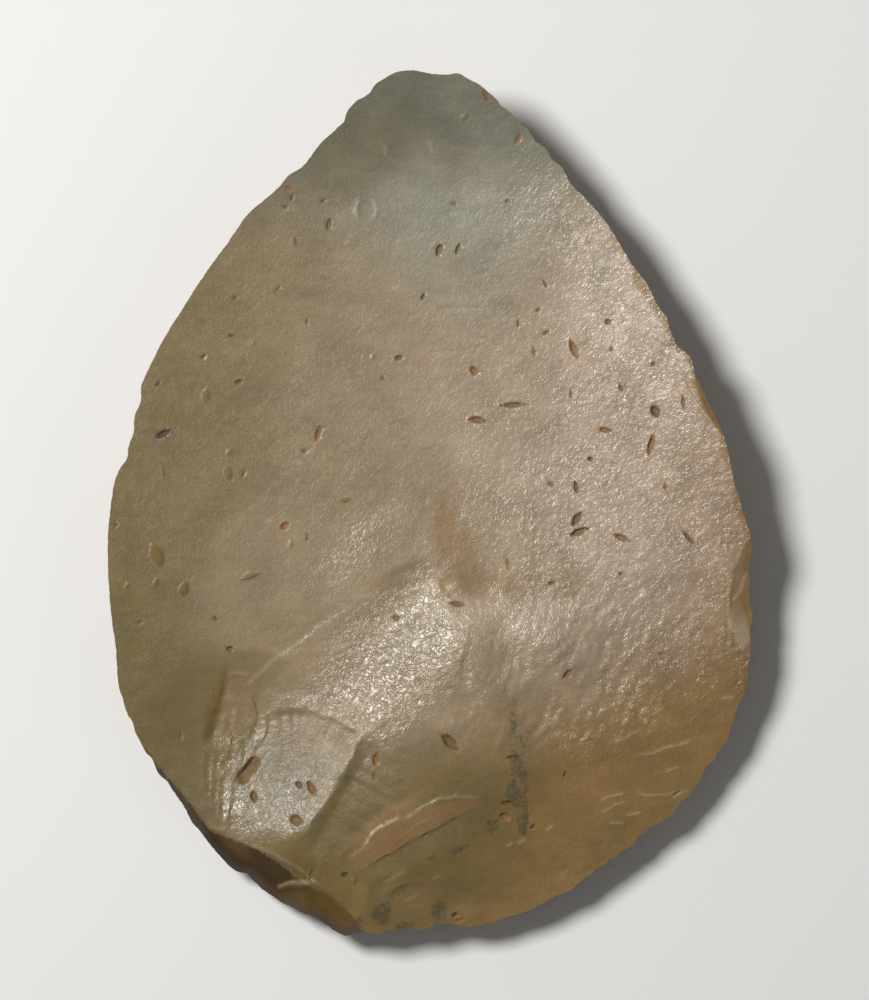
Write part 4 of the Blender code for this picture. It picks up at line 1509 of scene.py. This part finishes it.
def flake_mesh():
    """The whole flake as one closed mesh, with its colours and its liveliness."""
    outline = np.array([spot(*corner) for corner in OUTLINE])
    plain = evenly(smooth_loop(outline, OUTLINE_LEGS), PLAIN_PITCH)
    scars = trim_scars(loop_lengths(plain)[1])
    rim = evenly(crumbled(evenly(plain, RIM_PITCH / 2.0)), RIM_PITCH)

    def underside(points):
        return lower_surface(points, rim, plain, scars)

    extras = [fossil_points(fossil) for fossil in FOSSILS]
    extras += [welt_points(welt) for welt in WELTS]
    extras += [step_points(step) for step in STEPS]
    upper = filled(rim, lively_lattice(rim), FINE_PITCH, upper_surface, extras)
    lower = filled(rim, lattice(rim, UNDER_PITCH), UNDER_PITCH, underside, [])
    top_plan = np.vstack([rim, upper])
    heights, made_by = upper_surface(top_plan)
    heights += fine_relief(top_plan, made_by)
    low_heights, low_made_by = underside(lower)
    away = nearest_gap(top_plan, rim)
    points = np.vstack([np.column_stack([top_plan, heights]), np.column_stack([lower, low_heights])])
    top = triangles(rim, upper)
    bottom = triangles(rim, lower)
    bottom = np.where(bottom >= len(rim), bottom + len(upper), bottom)[:, ::-1]
    mesh = bpy.data.meshes.new("flake")
    mesh.from_pydata(points.tolist(), [], np.vstack([top, bottom]).tolist())
    mesh.update()
    colours = np.vstack([face_colours(top_plan, made_by, away), under_colours(lower, low_made_by)])
    calm = np.where(struck(made_by) | chipped(made_by), LIVELY_SCARS, 1.0)
    keep(mesh, "tint", "FLOAT_COLOR", "color", np.column_stack([colours, np.ones(len(colours))]))
    for name, upper_values, lower_value in (
        ("dull", dull_places(top_plan, made_by), MATT_UNDER),
        ("stained", stained_places(top_plan), 0.0),
        ("lively", liveliness(top_plan) * calm, LIVELY_UNDER),
    ):
        values = np.concatenate([upper_values, np.full(len(lower), lower_value)])
        keep(mesh, name, "FLOAT", "value", values)
    print("flake:", len(points), "points,", len(top), "and", len(bottom), "faces")
    return mesh


def flint():
    """Patinated flint: its colours, a mottle, fine grain with painted shade in its hollows, and a
    silky shine.
    """
    material = bpy.data.materials.new("patinated_flint")
    material.use_nodes = True
    nodes, links = material.node_tree.nodes, material.node_tree.links
    shader = nodes["Principled BSDF"]

    def node(kind, **settings):
        made = nodes.new(kind)
        for name, value in settings.items():
            setattr(made, name, value)
        return made

    def texture(scale, detail, rough, turn=0.0, stretch=(1.0, 1.0, 1.0), sway=0.0):
        mapping = node("ShaderNodeMapping")
        mapping.inputs["Rotation"].default_value[2] = math.radians(turn)
        mapping.inputs["Scale"].default_value = stretch
        links.new(coordinates.outputs["Object"], mapping.inputs["Vector"])
        made = node("ShaderNodeTexNoise")
        made.inputs["Scale"].default_value = scale
        made.inputs["Detail"].default_value = detail
        made.inputs["Roughness"].default_value = rough
        made.inputs["Distortion"].default_value = sway
        links.new(mapping.outputs["Vector"], made.inputs["Vector"])
        return made.outputs["Fac"]

    def mapped(value, low, high, to_low, to_high):
        made = node("ShaderNodeMapRange")
        ends = {"From Min": low, "From Max": high, "To Min": to_low, "To Max": to_high}
        for name, number in ends.items():
            made.inputs[name].default_value = number
        links.new(value, made.inputs["Value"])
        return made.outputs["Result"]

    def math_node(operation, a, b):
        made = node("ShaderNodeMath", operation=operation)
        for socket, value in zip(made.inputs, (a, b)):
            if isinstance(value, float):
                socket.default_value = value
            else:
                links.new(value, socket)
        return made.outputs["Value"]

    coordinates = node("ShaderNodeTexCoord")
    tint = node("ShaderNodeAttribute", attribute_name="tint")
    lively = node("ShaderNodeAttribute", attribute_name="lively").outputs["Fac"]
    fine = texture(*GRAIN)
    # Painted shade and light: the colour darkens in the fine grain's hollows and lightens on its
    # crests, by the bump's own pattern
    painted_grain_shade = math_node("MULTIPLY", mapped(fine, *PATTERN_RANGE, *GRAIN_SHADES), lively)
    bright = math_node("ADD", painted_grain_shade, 1.0)
    for pattern, shades in MOTTLES:
        mottle = mapped(texture(*pattern), *PATTERN_RANGE, *shades)
        bright = math_node("MULTIPLY", mottle, bright)
    stained = node("ShaderNodeAttribute", attribute_name="stained").outputs["Fac"]
    specks = math_node("ADD", texture(*SPECKS), math_node("MULTIPLY", stained, SPECKS_BY_STAIN))
    dyed = node("ShaderNodeMix", data_type="RGBA")
    dyed.inputs["B"].default_value = (*SLATE, 1.0)
    links.new(mapped(specks, *SPECKS_RANGE, 0.0, SPECKS_WHOLE), dyed.inputs["Factor"])
    links.new(tint.outputs["Color"], dyed.inputs["A"])
    scaled = node("ShaderNodeVectorMath", operation="SCALE")
    links.new(dyed.outputs["Result"], scaled.inputs["Vector"])
    links.new(bright, scaled.inputs["Scale"])
    links.new(scaled.outputs["Vector"], shader.inputs["Base Color"])
    matt = node("ShaderNodeAttribute", attribute_name="dull").outputs["Fac"]
    sheen = mapped(texture(*SHEEN), *PATTERN_RANGE, *SHEEN_ROUGHNESS)
    rough = math_node("ADD", sheen, math_node("MULTIPLY", matt, MATT_ROUGHNESS))
    links.new(rough, shader.inputs["Roughness"])
    links.new(mapped(matt, 0.0, 1.0, *HIGHLIGHTS), shader.inputs["Specular IOR Level"])
    shader.inputs["IOR"].default_value = REFRACTION

    thread = math_node("ABSOLUTE", math_node("SUBTRACT", texture(*THREADS), 0.5), 0.0)
    thread = mapped(thread, 0.0, THREAD_WIDTH, THREAD_HEIGHT, 0.0)
    relief = math_node("ADD", thread, math_node("MULTIPLY", texture(*PITS), PITS_HEIGHT))
    relief = math_node("ADD", relief, math_node("MULTIPLY", fine, GRAIN_HEIGHT))
    strength = mapped(lively, 0.0, LIVELIEST, *RELIEF_STRENGTH)
    bump = node("ShaderNodeBump")
    bump.inputs["Distance"].default_value = RELIEF_DEPTH
    links.new(strength, bump.inputs["Strength"])
    links.new(relief, bump.inputs["Height"])
    links.new(bump.outputs["Normal"], shader.inputs["Normal"])
    return material


def flake():
    """The dressed flake, in place of the plain solid."""
    piece = bpy.data.objects.new("flake", flake_mesh())
    piece.data.materials.append(flint())
    piece.data.shade_smooth()
    piece.data.set_sharp_from_angle(angle=math.radians(SHARP_FROM))
    bpy.context.scene.collection.objects.link(piece)
    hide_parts("scraper")
    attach(piece, "root")
    return piece


def studio():
    """The pale floor, the key light from the upper left, a fill, and the light of the room."""
    bpy.ops.mesh.primitive_plane_add(size=FLOOR_SIZE, location=(0.0, 0.0, 0.0))
    floor = bpy.context.object
    floor.name = "floor"
    paint = bpy.data.materials.new("floor_paint")
    paint.use_nodes = True
    shader = paint.node_tree.nodes["Principled BSDF"]
    shader.inputs["Base Color"].default_value = (*FLOOR_COLOUR, 1.0)
    shader.inputs["Roughness"].default_value = FLOOR_ROUGHNESS
    floor.data.materials.append(paint)

    def lamp(name, bearing, from_vertical, distance, size, power):
        light = bpy.data.lights.new(name, "AREA")
        light.shape = "DISK"
        light.size = size
        light.energy = power
        holder = bpy.data.objects.new(name, light)
        flat = distance * math.sin(math.radians(from_vertical)) * heading(bearing)
        holder.location = (*flat, distance * math.cos(math.radians(from_vertical)))
        holder.rotation_euler = holder.location.to_track_quat("Z", "Y").to_euler()
        bpy.context.scene.collection.objects.link(holder)

    for settings in LAMPS:
        lamp(*settings)
    world = bpy.data.worlds.new("room")
    world.use_nodes = True
    background = world.node_tree.nodes["Background"]
    background.inputs["Color"].default_value = (1.0, 1.0, 1.0, 1.0)
    background.inputs["Strength"].default_value = ROOM_LIGHT
    bpy.context.scene.world = world
    bpy.context.scene.view_settings.view_transform = "Standard"


def camera():
    """A camera that looks straight down on the flake, framed as in the photograph."""
    data = bpy.data.cameras.new("camera")
    data.lens = LENS
    data.sensor_fit = "VERTICAL"
    data.sensor_height = SENSOR_HEIGHT
    distance = PICTURE_HEIGHT * PIXEL * LENS / SENSOR_HEIGHT
    holder = bpy.data.objects.new("camera", data)
    middle = spot(*PICTURE_MIDDLE)
    holder.location = (middle[0], middle[1], BODY_THICKNESS + distance)
    bpy.context.scene.collection.objects.link(holder)
    bpy.context.scene.camera = holder


camera()
flake()
studio()
